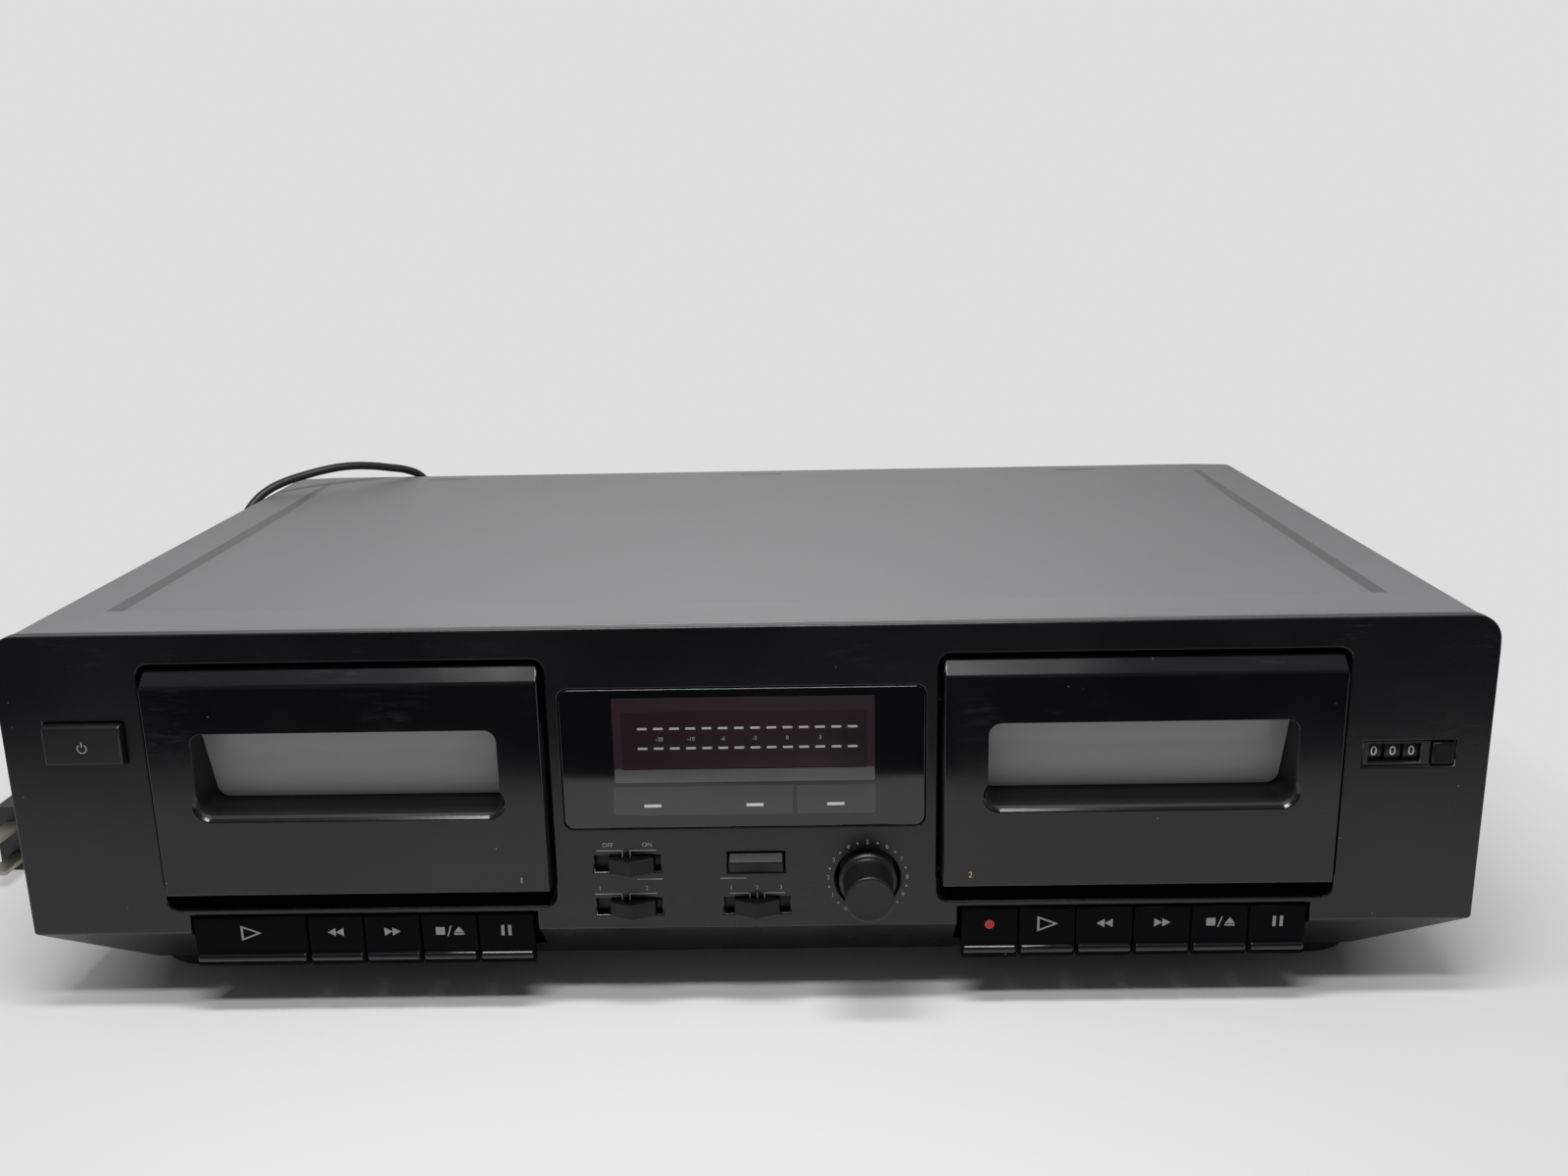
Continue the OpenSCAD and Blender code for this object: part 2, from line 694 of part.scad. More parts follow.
// Openings of the front panel for the doors, keys and controls
module panel_openings() {
    key_cut = key_z - fit;
    cut_back = chin_back * (face_z - key_cut) / chin_h + 2 * panel_wall;
    at_decks() {
        translate([0, 0, recess_z + recess_h / 2]) along_y(-skin, surround_d + skin)
            rounded(opening_w, recess_h, recess_r);
        block([-key_bank - 3 * fit, -skin, key_cut], [key_bank + 3 * fit, cut_back, face_z + key_high]);
        rod_x(hinge_y, hinge_z, hinge_r + running, -opening_w / 2 - 2 * surround_wall,
            opening_w / 2 + 2 * surround_wall);
    }
    translate([0, 0, face_z + (meter_low + meter_high) / 2]) {
        along_y(-skin, meter_t - meter_proud) rounded(meter_w + fit, meter_high - meter_low + fit, meter_r);
        along_y(-skin, panel_wall + skin)
            rounded(meter_w - 2 * meter_ledge, meter_high - meter_low - 2 * meter_ledge, meter_r - 1);
    }
    translate([-power_x, 0, face_z + power_up]) along_y(-skin, panel_wall + skin)
        square([power_w + 2 * fit, power_h + 2 * fit], center = true);
    for (place = [[-switch_x, switch_up], [-switch_x, switch_low], [switch_mid_x, switch_low]])
        translate([place.x, 0, face_z + place.y]) along_y(-skin, panel_wall + skin)
            square([slot_w, slot_h], center = true);
    translate([switch_mid_x, 0, face_z + switch_up]) along_y(-skin, panel_wall + skin)
        square([dubbing_w + 2 * fit, dubbing_h + 2 * fit], center = true);
    rod_y(dial_x, dial_z, dial_hole_r, -skin, panel_wall + skin);
    translate([counter_x, 0, counter_z]) along_y(-skin, panel_wall + skin)
        square([counter_w, counter_h], center = true);
}

module front_panel() color("black") placed() {
    slant = panel_wall / cos(atan(chin_back / chin_h));
    inner = (chin_h - panel_wall) / chin_h;
    difference() {
        union() {
            difference() {
                union() {
                    along_y(0, panel_rim) face_outline(0);
                    hipped(half_w, half_w - chin_side, 0, chin_back, lip_back, lip_back, base_z, face_z);
                }
                along_y(panel_wall, panel_rim + skin) face_outline(panel_wall);
                hipped(half_w - slant, half_w - slant - chin_side * inner, slant, slant + chin_back * inner,
                    lip_back + skin, lip_back + skin, base_z + panel_wall, face_z);
            }
            at_decks() translate([0, 0, recess_z + recess_h / 2]) along_y(0, surround_d)
                rounded(surround_w, recess_h + 2 * surround_wall, recess_r + surround_wall);
            for (side = [-1, 1], z = [meter_low - boss_off, meter_high + boss_off])
                rod_y(side * boss_x, face_z + z, boss_r, panel_wall - fit, board_y);
            for (side = [-1, 1])
                rod_y(-power_x, face_z + power_up + side * (power_h / 2 + boss_off), boss_r,
                    panel_wall - fit, power_stop());
        }
        panel_openings();
    }
}

module feet() color("dimgray") placed() at_feet() difference() {
    cylinder(h = foot_h, r1 = foot_r - foot_taper, r2 = foot_r);
    translate([0, 0, -skin]) cylinder(h = skin + foot_h - foot_web, r = screw_head_r + foot_room);
    cylinder(h = foot_h + skin, r = screw_r + fit);
}

module screws() color("gray") placed() {
    at_feet() translate([0, 0, foot_h - foot_web]) screw(screw_l);
    at_side_screws() screw(screw_l);
    at_rear_screws() screw(screw_l);
}

module phono_jacks() color("white") placed() {
    half = jack_pitch / 2 + jack_edge;
    mid = pan_top + jack_up;
    behind = rear_t + skin;
    difference() {
        union() {
            block([jack_x - half, rear_y - rear_t - jack_block, mid - half],
                [jack_x + half, rear_y - rear_t, mid + half]);
            at_jacks() translate([0, 0, -behind]) cylinder(h = behind + jack_out, r = jack_r - fit);
            at_jacks() translate([0, 0, fit]) cylinder(h = jack_out - fit, r = jack_r);
        }
        at_jacks() translate([0, 0, -rear_t]) cylinder(h = rear_t + jack_out + skin, r = jack_bore_r);
    }
}

module meter_window() color("darkslateblue") placed()
    translate([0, 0, face_z + (meter_low + meter_high) / 2])
        along_y(-meter_proud, meter_t - meter_proud)
            rounded(meter_w, meter_high - meter_low, meter_r - fit / 2);

module circuit_boards() color("darkgreen") placed() {
    board_z = pan_top + post_h;
    block([-boss_x - board_edge, board_y, face_z + board_edge],
        [boss_x + board_edge, board_y + board_t, face_z + meter_high + 2 * boss_off]);
    spans = [[meter_low + meter_tube, meter_high - board_edge], [meter_low + boss_off, meter_low + lamp_top]];
    for (span = spans)
        block([-lamp_half, panel_wall + lamp_gap, face_z + span[0]], [lamp_half, board_y, face_z + span[1]]);
    difference() {
        block([post_x[0] - board_out, post_y[0] - board_out, board_z],
            [post_x[1] + board_out, post_y[1] + board_out, board_z + board_t]);
        for (x = post_x, y = post_y)
            translate([x, y, board_z - skin]) cylinder(h = board_t + 2 * skin, r = screw_r);
    }
    for (i = [0:3])
        translate([i * can_pitch, post_y[0] + can_pitch, board_z + board_t]) cylinder(h = can_h, r = can_r);
    for (i = [0:2])
        translate([i * chip_size.x * 2, post_y[1] - can_pitch, board_z + board_t]) cube(chip_size);
}

module power_transformer() color("peru") placed() {
    core_z = pan_top + core_foot;
    translate([core_mid.x, core_mid.y, core_z - core_foot / 2])
        cube([core_size.x + 5 * core_foot, core_size.y + 3 * core_foot, core_foot], center = true);
    translate([core_mid.x, core_mid.y, core_z + core_size.z / 2]) {
        cube(core_size, center = true);
        cube(winding_size, center = true);
    }
}

// Steel frame of one transport with its reel pins, bearing and guide pins
module transport_frame() {
    bridge_back = bridge_y + plate_t;
    frame_top = motor_z + motor_r + frame_edge;
    bore_half = mech_half + 2 * plate_t;
    difference() {
        union() {
            block([-mech_half, mech_y, plate_foot], [mech_half, mech_y + plate_t, face_z + recess_high]);
            block([-mech_half, bridge_y, plate_foot], [mech_half, bridge_back, frame_top]);
            for (side = [-1, 1])
                block([side * mech_half - (side < 0 ? plate_t : 0), mech_y, pan_top],
                    [side * mech_half + (side < 0 ? 0 : plate_t), bridge_back, frame_top]);
            rod_y(capstan_x, capstan_z, capstan_r + bearing_wall, mech_y, mech_y + plate_t + bearing_l);
            for (side = [-1, 1]) {
                rod_y(side * reel_x, reel_z, pin_r, tip_y + 1, mech_y + plate_t);
                rod_y(side * guide_x, roller_z, pin_r, head_y, mech_y + plate_t);
            }
        }
        rod_y(capstan_x, capstan_z, capstan_r + running, mech_y - skin, mech_y + plate_t + bearing_l + skin);
        rod_y(-motor_x, motor_z, motor_shaft_r + 2, bridge_y - skin, bridge_back + skin);
        rod_x(key_shaft_y, key_shaft_z, key_shaft_r + running, -bore_half, bore_half);
    }
}

module transport_frames() color("lightsteelblue") placed() at_decks() transport_frame();

module drive_motors() color("gainsboro") placed() at_decks() translate([-motor_x, 0, motor_z]) {
    back = bridge_y + plate_t;
    rod_y(0, 0, motor_r, back, back + motor_l);
    rod_y(0, 0, motor_shaft_r, fly_y, back + skin);
}

module drive_belts() color("black") placed() at_decks()
    along_y(fly_y + flywheel_t / 4, fly_y + 3 * flywheel_t / 4) difference() {
        belt_outline(fit + belt_t);
        belt_outline(fit);
    }

// Outline round the flywheel and the motor pulley at a distance from both
module belt_outline(off) hull() {
    translate([capstan_x, capstan_z]) circle(flywheel_r + off);
    translate([-motor_x, motor_z]) circle(pulley_r + off);
}

module key_shafts() color("silver") placed() at_decks()
    rod_x(key_shaft_y, key_shaft_z, key_shaft_r, -mech_half - plate_t, mech_half + plate_t);

// Depths at which the bodies of the push switches stop their buttons
function power_stop() = panel_wall + push_back + power_travel + fit;
function dubbing_stop() = panel_wall + push_back + dubbing_travel + fit;

// Body of a slide switch with the channel for its knob's stem
module slide_switch(x, z) translate([x, 0, z]) difference() {
    reach = stem_half + 2 * slider_step + fit;
    block([-switch_half, stem_y - stem_in, -switch_high], [switch_half, board_y, switch_high]);
    block([-reach, stem_y - 2 * stem_in, -stem_half - fit], [reach, stem_y + fit, stem_half + fit]);
}

module switch_bodies() color("slategray") placed() {
    slide_switch(-switch_x, face_z + switch_up);
    slide_switch(-switch_x, face_z + switch_low);
    slide_switch(switch_mid_x, face_z + switch_low);
    block([switch_mid_x - push_half, dubbing_stop(), face_z + switch_up - switch_high],
        [switch_mid_x + push_half, board_y, face_z + switch_up + switch_high]);
    translate([-power_x, 0, face_z + power_up]) {
        strap_half = power_h / 2 + boss_off + boss_r;
        block([-boss_r, power_stop(), -strap_half], [boss_r, power_stop() + board_t, strap_half]);
        block([-push_half, power_stop(), -push_half], [push_half, power_stop() + power_body, push_half]);
    }
    difference() {
        union() {
            block([dial_x - pot_half, stem_y - stem_in, dial_z - pot_half],
                [dial_x + pot_half, board_y, dial_z + pot_half]);
            rod_y(dial_x, dial_z, pot_shaft_r + 2, panel_wall + fit, stem_y);
        }
        rod_y(dial_x, dial_z, pot_shaft_r + running, panel_wall, pot_end + skin);
    }
}

module counter_frame() color("dimgray") placed() {
    back = panel_wall + counter_plate;
    cheek = 1.5 * wheel_pitch + fit;
    view = 1.5 * wheel_pitch - 2 * fit;
    half = counter_w / 2;
    edge = counter_h / 2 - fit / 2;
    difference() {
        union() {
            block([counter_x - half - counter_rim, panel_wall, counter_z - cheek_half],
                [counter_x + half + counter_rim, back, counter_z + cheek_half]);
            block([counter_x - half + fit / 2, counter_sunk, counter_z - edge],
                [counter_x + half - fit / 2, back, counter_z + edge]);
        }
        rod_x(wheel_y, counter_z, wheel_r + fit, wheels_x - cheek, wheels_x + cheek);
        block([wheels_x - view, 0, counter_z - counter_view],
            [wheels_x + view, back + skin, counter_z + counter_view]);
        block([reset_x - reset_w / 2 - fit, 0, counter_z - reset_h / 2 - fit / 2],
            [reset_x + reset_w / 2 + fit, back + skin, counter_z + reset_h / 2 + fit / 2]);
    }
    for (side = [-1, 1]) {
        x = wheels_x + side * (cheek + cheek_t / 2);
        block([x - cheek_t / 2, panel_wall, counter_z - cheek_half],
            [x + cheek_t / 2, wheel_y + wheel_r, counter_z + cheek_half]);
    }
    rod_x(wheel_y, counter_z, axle_r, wheels_x - cheek - cheek_t / 2, wheels_x + cheek + cheek_t / 2);
}

module cord_gland() color("black") placed() translate([-gland_x, 0, gland_z]) {
    rod_y(0, 0, gland_r, rear_y - 8, rear_y + 2);
    rod_y(0, 0, gland_r + gland_lip, rear_y, rear_y + 2);
    rod_y(0, 0, gland_r + gland_lip, rear_y - rear_t - 3, rear_y - rear_t);
    translate([0, rear_y, 0]) rotate([-90, 0, 0])
        cylinder(h = relief_l, r1 = gland_r, r2 = cord_r + relief_wall);
}

// Smooth curve through a list of knots, three steps from each knot to the next
function between(a, b, c, d, t) =
    b + t / 2 * ((c - a) + t * ((2 * a - 5 * b + 4 * c - d) + t * (3 * b - a - 3 * c + d)));
function smooth(knots) =
    let (last = len(knots) - 1)
        concat([
            for (i = [0:last - 1], t = [0, 1 / 3, 2 / 3])
                between(knots[max(i - 1, 0)], knots[i], knots[i + 1], knots[min(i + 2, last)], t)
        ], [knots[last]]);

// Sweeps a ring of sides along a list of points as one closed tube
function unit(v) = v / norm(v);
function tangent(route, i) = unit(route[min(i + 1, len(route) - 1)] - route[max(i - 1, 0)]);
function carried(n, t) = unit(n - t * (n * t));
module tube(route, r, sides) {
    last = len(route) - 1;
    ways = [for (i = [0:last]) tangent(route, i)];
    first = abs(ways[0].z) < 0.9 ? [0, 0, 1] : [1, 0, 0];
    ups = [
        for (i = 0, n = carried(first, ways[0]); i <= last; i = i + 1, n = carried(n, ways[min(i, last)])) n
    ];
    rings = [
        for (i = [0:last], k = [0:sides - 1])
            let (a = 360 * k / sides, side = cross(ways[i], ups[i]))
                route[i] + r * (cos(a) * ups[i] + sin(a) * side)
    ];
    walls = [
        for (i = [0:last - 1], k = [0:sides - 1])
            let (a = i * sides + k, b = i * sides + (k + 1) % sides)
                each [[a, b, a + sides], [b, b + sides, a + sides]]
    ];
    caps = [
        for (k = [1:sides - 2])
            each [[0, k + 1, k], [last * sides, last * sides + k, last * sides + k + 1]]
    ];
    polyhedron(rings, concat(walls, caps));
}

module cord_lead() color("black") placed() tube(lead_route, cord_r, 8);

module cord_tail() color("black") placed() tube(tail_route, cord_r, 8);

// Point of the coil after a number of turns: it spirals in and out again and climbs a layer in half a turn
function coil_point(t) =
    let (
        span = layer_turns + 0.5,
        layer = min(floor(t / span), coil_layers - 1),
        wound = min(t - layer * span, layer_turns),
        climbed = max(t - layer * span - layer_turns, 0) * 2,
        r = layer % 2 == 0 ? coil_out - wound * coil_pitch : coil_in + wound * coil_pitch,
        a = 90 + 360 * t
    )
    [coil_mid.x + r * cos(a), coil_mid.y + r * sin(a), coil_end.z + (layer + climbed) * coil_pitch];
coil_steps = ceil(24 * coil_turns);
coil_loops = [for (i = [0:coil_steps]) coil_point(coil_turns * i / coil_steps)];
coil_route = concat(coil_loops, [[plug_x, tail_y, coil_top]]);

// Least free space between two loops, measured between points at least half a loop apart
coil_gap = min([
    for (i = [0:coil_steps - 12], j = [i + 12:coil_steps]) norm(coil_loops[i] - coil_loops[j])
]) - cord_d;
echo(coil_gap = coil_gap);

module cord_coil() color("black") placed() tube(coil_route, cord_r, 6);

module mains_plug() color("dimgray") placed() translate([plug_x, plug_y, plug_z]) {
    along_x(-plug_w / 2, plug_w / 2) polygon([
        [0, plug_h / 2], [0, -plug_h / 2], [plug_l - 6, -plug_h / 2], [plug_l, -plug_h / 4],
        [plug_l, plug_h / 4], [plug_l - 6, plug_h / 2]
    ]);
    translate([0, plug_l - skin, 0]) rotate([-90, 0, 0])
        cylinder(h = plug_relief + skin, r1 = plug_h / 4, r2 = cord_r + relief_wall);
    for (side = [-1, 1])
        block([-blade_w / 2, -blade_l, side * blade_gap / 2 - blade_t / 2],
            [blade_w / 2, skin, side * blade_gap / 2 + blade_t / 2]);
}

function pane_y(z) = pane_top + (pocket_top - z) * pane_slope;

// Door shell with its window pocket and hinge pins, around its own middle
module door() {
    half = door_w / 2;
    difference() {
        union() {
            difference() {
                along_x(-half, half) polygon([
                    [-door_proud, door_z], [-door_proud, door_top - door_bevel], [1.2, door_top],
                    [door_back, door_top], [door_back, door_z]
                ]);
                along_x(door_wall - half, half - door_wall) polygon([
                    [door_wall - door_proud, door_z + door_wall],
                    [door_wall - door_proud, door_top - door_bevel],
                    [door_wall, door_top - door_wall], [door_back + skin, door_top - door_wall],
                    [door_back + skin, door_z + door_wall]
                ]);
            }
            along_x(-pocket_w / 2 - pocket_wall, pocket_w / 2 + pocket_wall) polygon([
                [-door_proud, pocket_z - pocket_wall], [-door_proud, pocket_top + pocket_wall],
                [pane_y(pocket_top + pocket_wall), pocket_top + pocket_wall],
                [pane_y(pocket_z - pocket_wall), pocket_z - pocket_wall]
            ]);
            for (side = [-1, 1]) {
                x0 = side * (half - door_wall / 2);
                rod_x(hinge_y, hinge_z, hinge_r + 2, x0 - door_wall / 2, x0 + door_wall / 2);
                rod_x(hinge_y, hinge_z, hinge_r, side > 0 ? half - skin : -half - door_gap - surround_wall,
                    side > 0 ? half + door_gap + surround_wall : skin - half);
            }
        }
        intersection() {
            along_x(-pocket_w / 2, pocket_w / 2) polygon([
                [-door_proud - skin, pocket_z], [-door_proud - skin, pocket_top],
                [pane_y(pocket_top), pocket_top], [pane_y(pocket_z), pocket_z]
            ]);
            translate([0, 0, (pocket_z + pocket_top) / 2]) along_y(-door_proud - skin, pane_low + skin)
                rounded(pocket_w, pocket_top - pocket_z, pocket_r);
        }
        along_x(pocket_r - pocket_w / 2, pocket_w / 2 - pocket_r) polygon([
            [-door_proud - skin, pocket_z - pocket_lip - skin], [pocket_lip - door_proud, pocket_z],
            [pocket_lip - door_proud, pocket_z + skin], [-door_proud - skin, pocket_z + skin]
        ]);
        for (side = [-1, 1])
            translate([side * (pocket_w / 2 - pocket_r), -door_proud - skin, pocket_z + pocket_r])
                rotate([-90, 0, 0])
                    cylinder(h = pocket_lip + skin, r1 = pocket_r + pocket_lip + skin, r2 = pocket_r);
    }
}

// Tilted pane at the back of the door's window pocket
module door_pane() along_x(-pocket_w / 2 - pane_edge, pocket_w / 2 + pane_edge) polygon([
    [pane_y(pocket_top + pane_edge), pocket_top + pane_edge],
    [pane_y(pocket_top + pane_edge) + pane_depth, pocket_top + pane_edge],
    [pane_y(pocket_z - pane_edge) + pane_depth, pocket_z - pane_edge],
    [pane_y(pocket_z - pane_edge), pocket_z - pane_edge]
]);

// Holder that carries the cassette behind the door: front sheet, side channels and ledges
module cassette_holder() {
    half = holder_half + holder_wall;
    top = door_top - holder_short;
    low = ledge_z - ledge_t;
    difference() {
        block([-door_w / 2 + fit, door_back, low], [door_w / 2 - fit, room_y, top]);
        block([-pocket_w / 2, door_back - skin, pocket_z - ledge_t],
            [pocket_w / 2, room_y + skin, pocket_top + ledge_t]);
    }
    for (side = [-1, 1]) {
        x0 = side * (holder_half + holder_wall / 2);
        block([x0 - holder_wall / 2, door_back, low], [x0 + holder_wall / 2, holder_back, top]);
        x1 = side * (half - channel_w / 2);
        block([x1 - channel_w / 2, holder_back - holder_wall, low], [x1 + channel_w / 2, holder_back, top]);
        x2 = side * (half - ledge_w / 2);
        block([x2 - ledge_w / 2, door_back, low], [x2 + ledge_w / 2, holder_back, ledge_z]);
    }
}

module at_a() translate([-deck_x, 0, 0]) children();
module at_b() translate([deck_x, 0, 0]) children();
module door_a() color("black") placed() at_a() door();
module door_b() color("black") placed() at_b() door();
module door_window_a() color("gray") placed() at_a() door_pane();
module door_window_b() color("gray") placed() at_b() door_pane();
module cassette_holder_a() color("dimgray") placed() at_a() cassette_holder();
module cassette_holder_b() color("dimgray") placed() at_b() cassette_holder();

// Piano key between two places of its bank, counted in key spacings from the bank's left end
module key(from, to) {
    x0 = from * key_pitch - key_bank + key_gap / 2;
    x1 = to * key_pitch - key_bank - key_gap / 2;
    front = -key_proud;
    difference() {
        union() {
            along_x(x0, x1) polygon([
                [front, key_z], [front, key_top], [key_shaft_y, key_top], [key_shaft_y, key_top - key_arm],
                [front + key_wall, key_top - key_arm], [front + key_wall, key_z]
            ]);
            rod_x(key_shaft_y, key_shaft_z, key_boss_r, x0, x1);
            rod_x(front, key_z + ridge_up, ridge_r, x0 + ridge_short, x1 - ridge_short);
        }
        rod_x(key_shaft_y, key_shaft_z, key_shaft_r + running, x0 - skin, x1 + skin);
    }
}

module play_key_a() color("black") placed() at_a() key(0, 2);
module rewind_key_a() color("black") placed() at_a() key(2, 3);
module forward_key_a() color("black") placed() at_a() key(3, 4);
module stop_key_a() color("black") placed() at_a() key(4, 5);
module pause_key_a() color("black") placed() at_a() key(5, 6);
module record_key_b() color("black") placed() at_b() key(0, 1);
module play_key_b() color("black") placed() at_b() key(1, 2);
module rewind_key_b() color("black") placed() at_b() key(2, 3);
module forward_key_b() color("black") placed() at_b() key(3, 4);
module stop_key_b() color("black") placed() at_b() key(4, 5);
module pause_key_b() color("black") placed() at_b() key(5, 6);

module power_button() color("black") placed() translate([-power_x, 0, face_z + power_up])
    along_x(-power_w / 2, power_w / 2) polygon([
        [-power_proud, -power_h / 2], [-power_proud, power_h / 2 - power_slope],
        [power_slope - power_proud, power_h / 2],
        [panel_wall + push_back, power_h / 2], [panel_wall + push_back, -power_h / 2]
    ]);

module dubbing_button() color("black") placed() translate([switch_mid_x, 0, face_z + switch_up])
    along_x(-dubbing_w / 2, dubbing_w / 2) polygon([
        [-dubbing_low, -dubbing_h / 2], [-dubbing_proud, dubbing_h / 2 - dubbing_fall], [0, dubbing_h / 2],
        [panel_wall + push_back, dubbing_h / 2], [panel_wall + push_back, -dubbing_h / 2]
    ]);

module reset_button() color("black") placed()
    block([reset_x - reset_w / 2, -reset_proud, counter_z - reset_h / 2],
        [reset_x + reset_w / 2, reset_back, counter_z + reset_h / 2]);

// Knob of a slide switch, pointed in plan, with the plate and stem behind the panel
module slider(x, z) translate([x, 0, z]) {
    half = slider_w / 2;
    high = slot_h - 2 * fit;
    plate = panel_wall + fit;
    translate([0, 0, -high / 2]) linear_extrude(high) polygon([
        [-half, plate], [-half, -1.5], [-0.8, 0.6 - slider_proud], [0, -slider_proud],
        [0.8, 0.6 - slider_proud], [half, -1.5], [half, plate]
    ]);
    block([-half - 2 * slider_step, plate, -slot_h / 2 - 1],
        [half + 2 * slider_step, plate + 1.2, slot_h / 2 + 1]);
    block([-stem_half, plate, -stem_half], [stem_half, stem_y, stem_half]);
}

module noise_switch_knob() color("black") placed() slider(slider_shift - switch_x, face_z + switch_up);
module tape_type_knob_a() color("black") placed() slider(slider_shift - switch_x, face_z + switch_low);
module tape_type_knob_b() color("black") placed() slider(switch_mid_x, face_z + switch_low);

module level_knob() color("black") placed() translate([dial_x, 0, dial_z]) rotate([90, 0, 0]) rotate_extrude()
    polygon([
        [0, -pot_end], [pot_shaft_r, -pot_end], [pot_shaft_r, 0.6], [knob_r, 0.6], [knob_r, 2],
        [knob_r - 0.6, 3.4], [knob_front_r + 0.4, 5.5], [knob_front_r, 8], [knob_front_r, knob_out - 0.8],
        [knob_front_r - 0.8, knob_out], [0, knob_out]
    ]);

// Number wheel of the tape counter, counted from the middle one
module counter_wheel(i) difference() {
    x = wheels_x + i * wheel_pitch;
    rod_x(wheel_y, counter_z, wheel_r, x - wheel_w / 2, x + wheel_w / 2);
    rod_x(wheel_y, counter_z, axle_r + running, x - wheel_w, x + wheel_w);
}

module counter_wheel_hundreds() color("black") placed() counter_wheel(-1);
module counter_wheel_tens() color("black") placed() counter_wheel(0);
module counter_wheel_units() color("black") placed() counter_wheel(1);

// Reel with its flange and three-ribbed spindle on a pin of the transport frame
module reel(side) translate([side * reel_x, 0, reel_z]) difference() {
    union() {
        rod_y(0, 0, reel_r, mech_y - fit - plate_t, mech_y - fit);
        rod_y(0, 0, spindle_r - rib_h, tip_y, mech_y - fit);
        for (i = [0:2])
            rotate([0, 120 * i, 0]) block([-rib_w / 2, tip_y + 1, 0], [rib_w / 2, mech_y - fit, spindle_r]);
    }
    rod_y(0, 0, pin_r + running, tip_y + 1 - fit, mech_y);
}

module supply_reel_a() color("white") placed() at_a() reel(-1);
module takeup_reel_a() color("white") placed() at_a() reel(1);
module supply_reel_b() color("white") placed() at_b() reel(-1);
module takeup_reel_b() color("white") placed() at_b() reel(1);

// Flywheel with its capstan
module flywheel() translate([capstan_x, 0, capstan_z]) {
    rod_y(0, 0, flywheel_r, fly_y, fly_y + flywheel_t);
    rod_y(0, 0, capstan_r, tip_y, bridge_y - fit);
}

module flywheel_a() color("goldenrod") placed() at_a() flywheel();
module flywheel_b() color("goldenrod") placed() at_b() flywheel();

module motor_pulley() translate([-motor_x, 0, motor_z]) difference() {
    rod_y(0, 0, pulley_r, fly_y, fly_y + flywheel_t);
    rod_y(0, 0, motor_shaft_r + running, fly_y - skin, fly_y + flywheel_t + skin);
}

module motor_pulley_a() color("gold") placed() at_a() motor_pulley();
module motor_pulley_b() color("gold") placed() at_b() motor_pulley();

// Sliding plate with the tape head, the guide slots and the pin of the pinch roller
module head_plate() difference() {
    union() {
        block([-head_half, head_y, plate_foot], [head_half, head_y + plate_t, head_top]);
        block([-head_w / 2, tip_y, plate_foot], [head_w / 2, head_y + plate_t, ledge_z]);
        rod_y(capstan_x, roller_z, roller_pin_r, tip_y, head_y + plate_t);
    }
    for (side = [-1, 1]) {
        x = side * guide_x;
        block([x - pin_r - 2 * running, head_y - skin, roller_z - head_travel - pin_r - fit],
            [x + pin_r + 2 * running, mech_y, roller_z + pin_r + fit]);
    }
}

module head_plate_a() color("silver") placed() at_a() head_plate();
module head_plate_b() color("silver") placed() at_b() head_plate();

module pinch_roller() difference() {
    rod_y(capstan_x, roller_z, roller_r, tip_y + 0.4, head_y - fit);
    rod_y(capstan_x, roller_z, roller_pin_r + running, tip_y, head_y);
}

module pinch_roller_a() color("black") placed() at_a() pinch_roller();
module pinch_roller_b() color("black") placed() at_b() pinch_roller();

chassis_pan();
rear_panel();
top_cover();
front_panel();
feet();
screws();
phono_jacks();
meter_window();
circuit_boards();
power_transformer();
transport_frames();
drive_motors();
drive_belts();
key_shafts();
switch_bodies();
counter_frame();
cord_gland();
cord_lead();
cord_coil();
cord_tail();
mains_plug();
door_a();
door_b();
door_window_a();
door_window_b();
cassette_holder_a();
cassette_holder_b();
play_key_a();
rewind_key_a();
forward_key_a();
stop_key_a();
pause_key_a();
record_key_b();
play_key_b();
rewind_key_b();
forward_key_b();
stop_key_b();
pause_key_b();
power_button();
dubbing_button();
reset_button();
noise_switch_knob();
tape_type_knob_a();
tape_type_knob_b();
level_knob();
counter_wheel_hundreds();
counter_wheel_tens();
counter_wheel_units();
supply_reel_a();
takeup_reel_a();
supply_reel_b();
takeup_reel_b();
flywheel_a();
flywheel_b();
motor_pulley_a();
motor_pulley_b();
head_plate_a();
head_plate_b();
pinch_roller_a();
pinch_roller_b();
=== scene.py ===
"""Dresses the double cassette deck: finishes, printed marks, cord, light and camera around its frame."""

import json
from math import pi, radians, tan

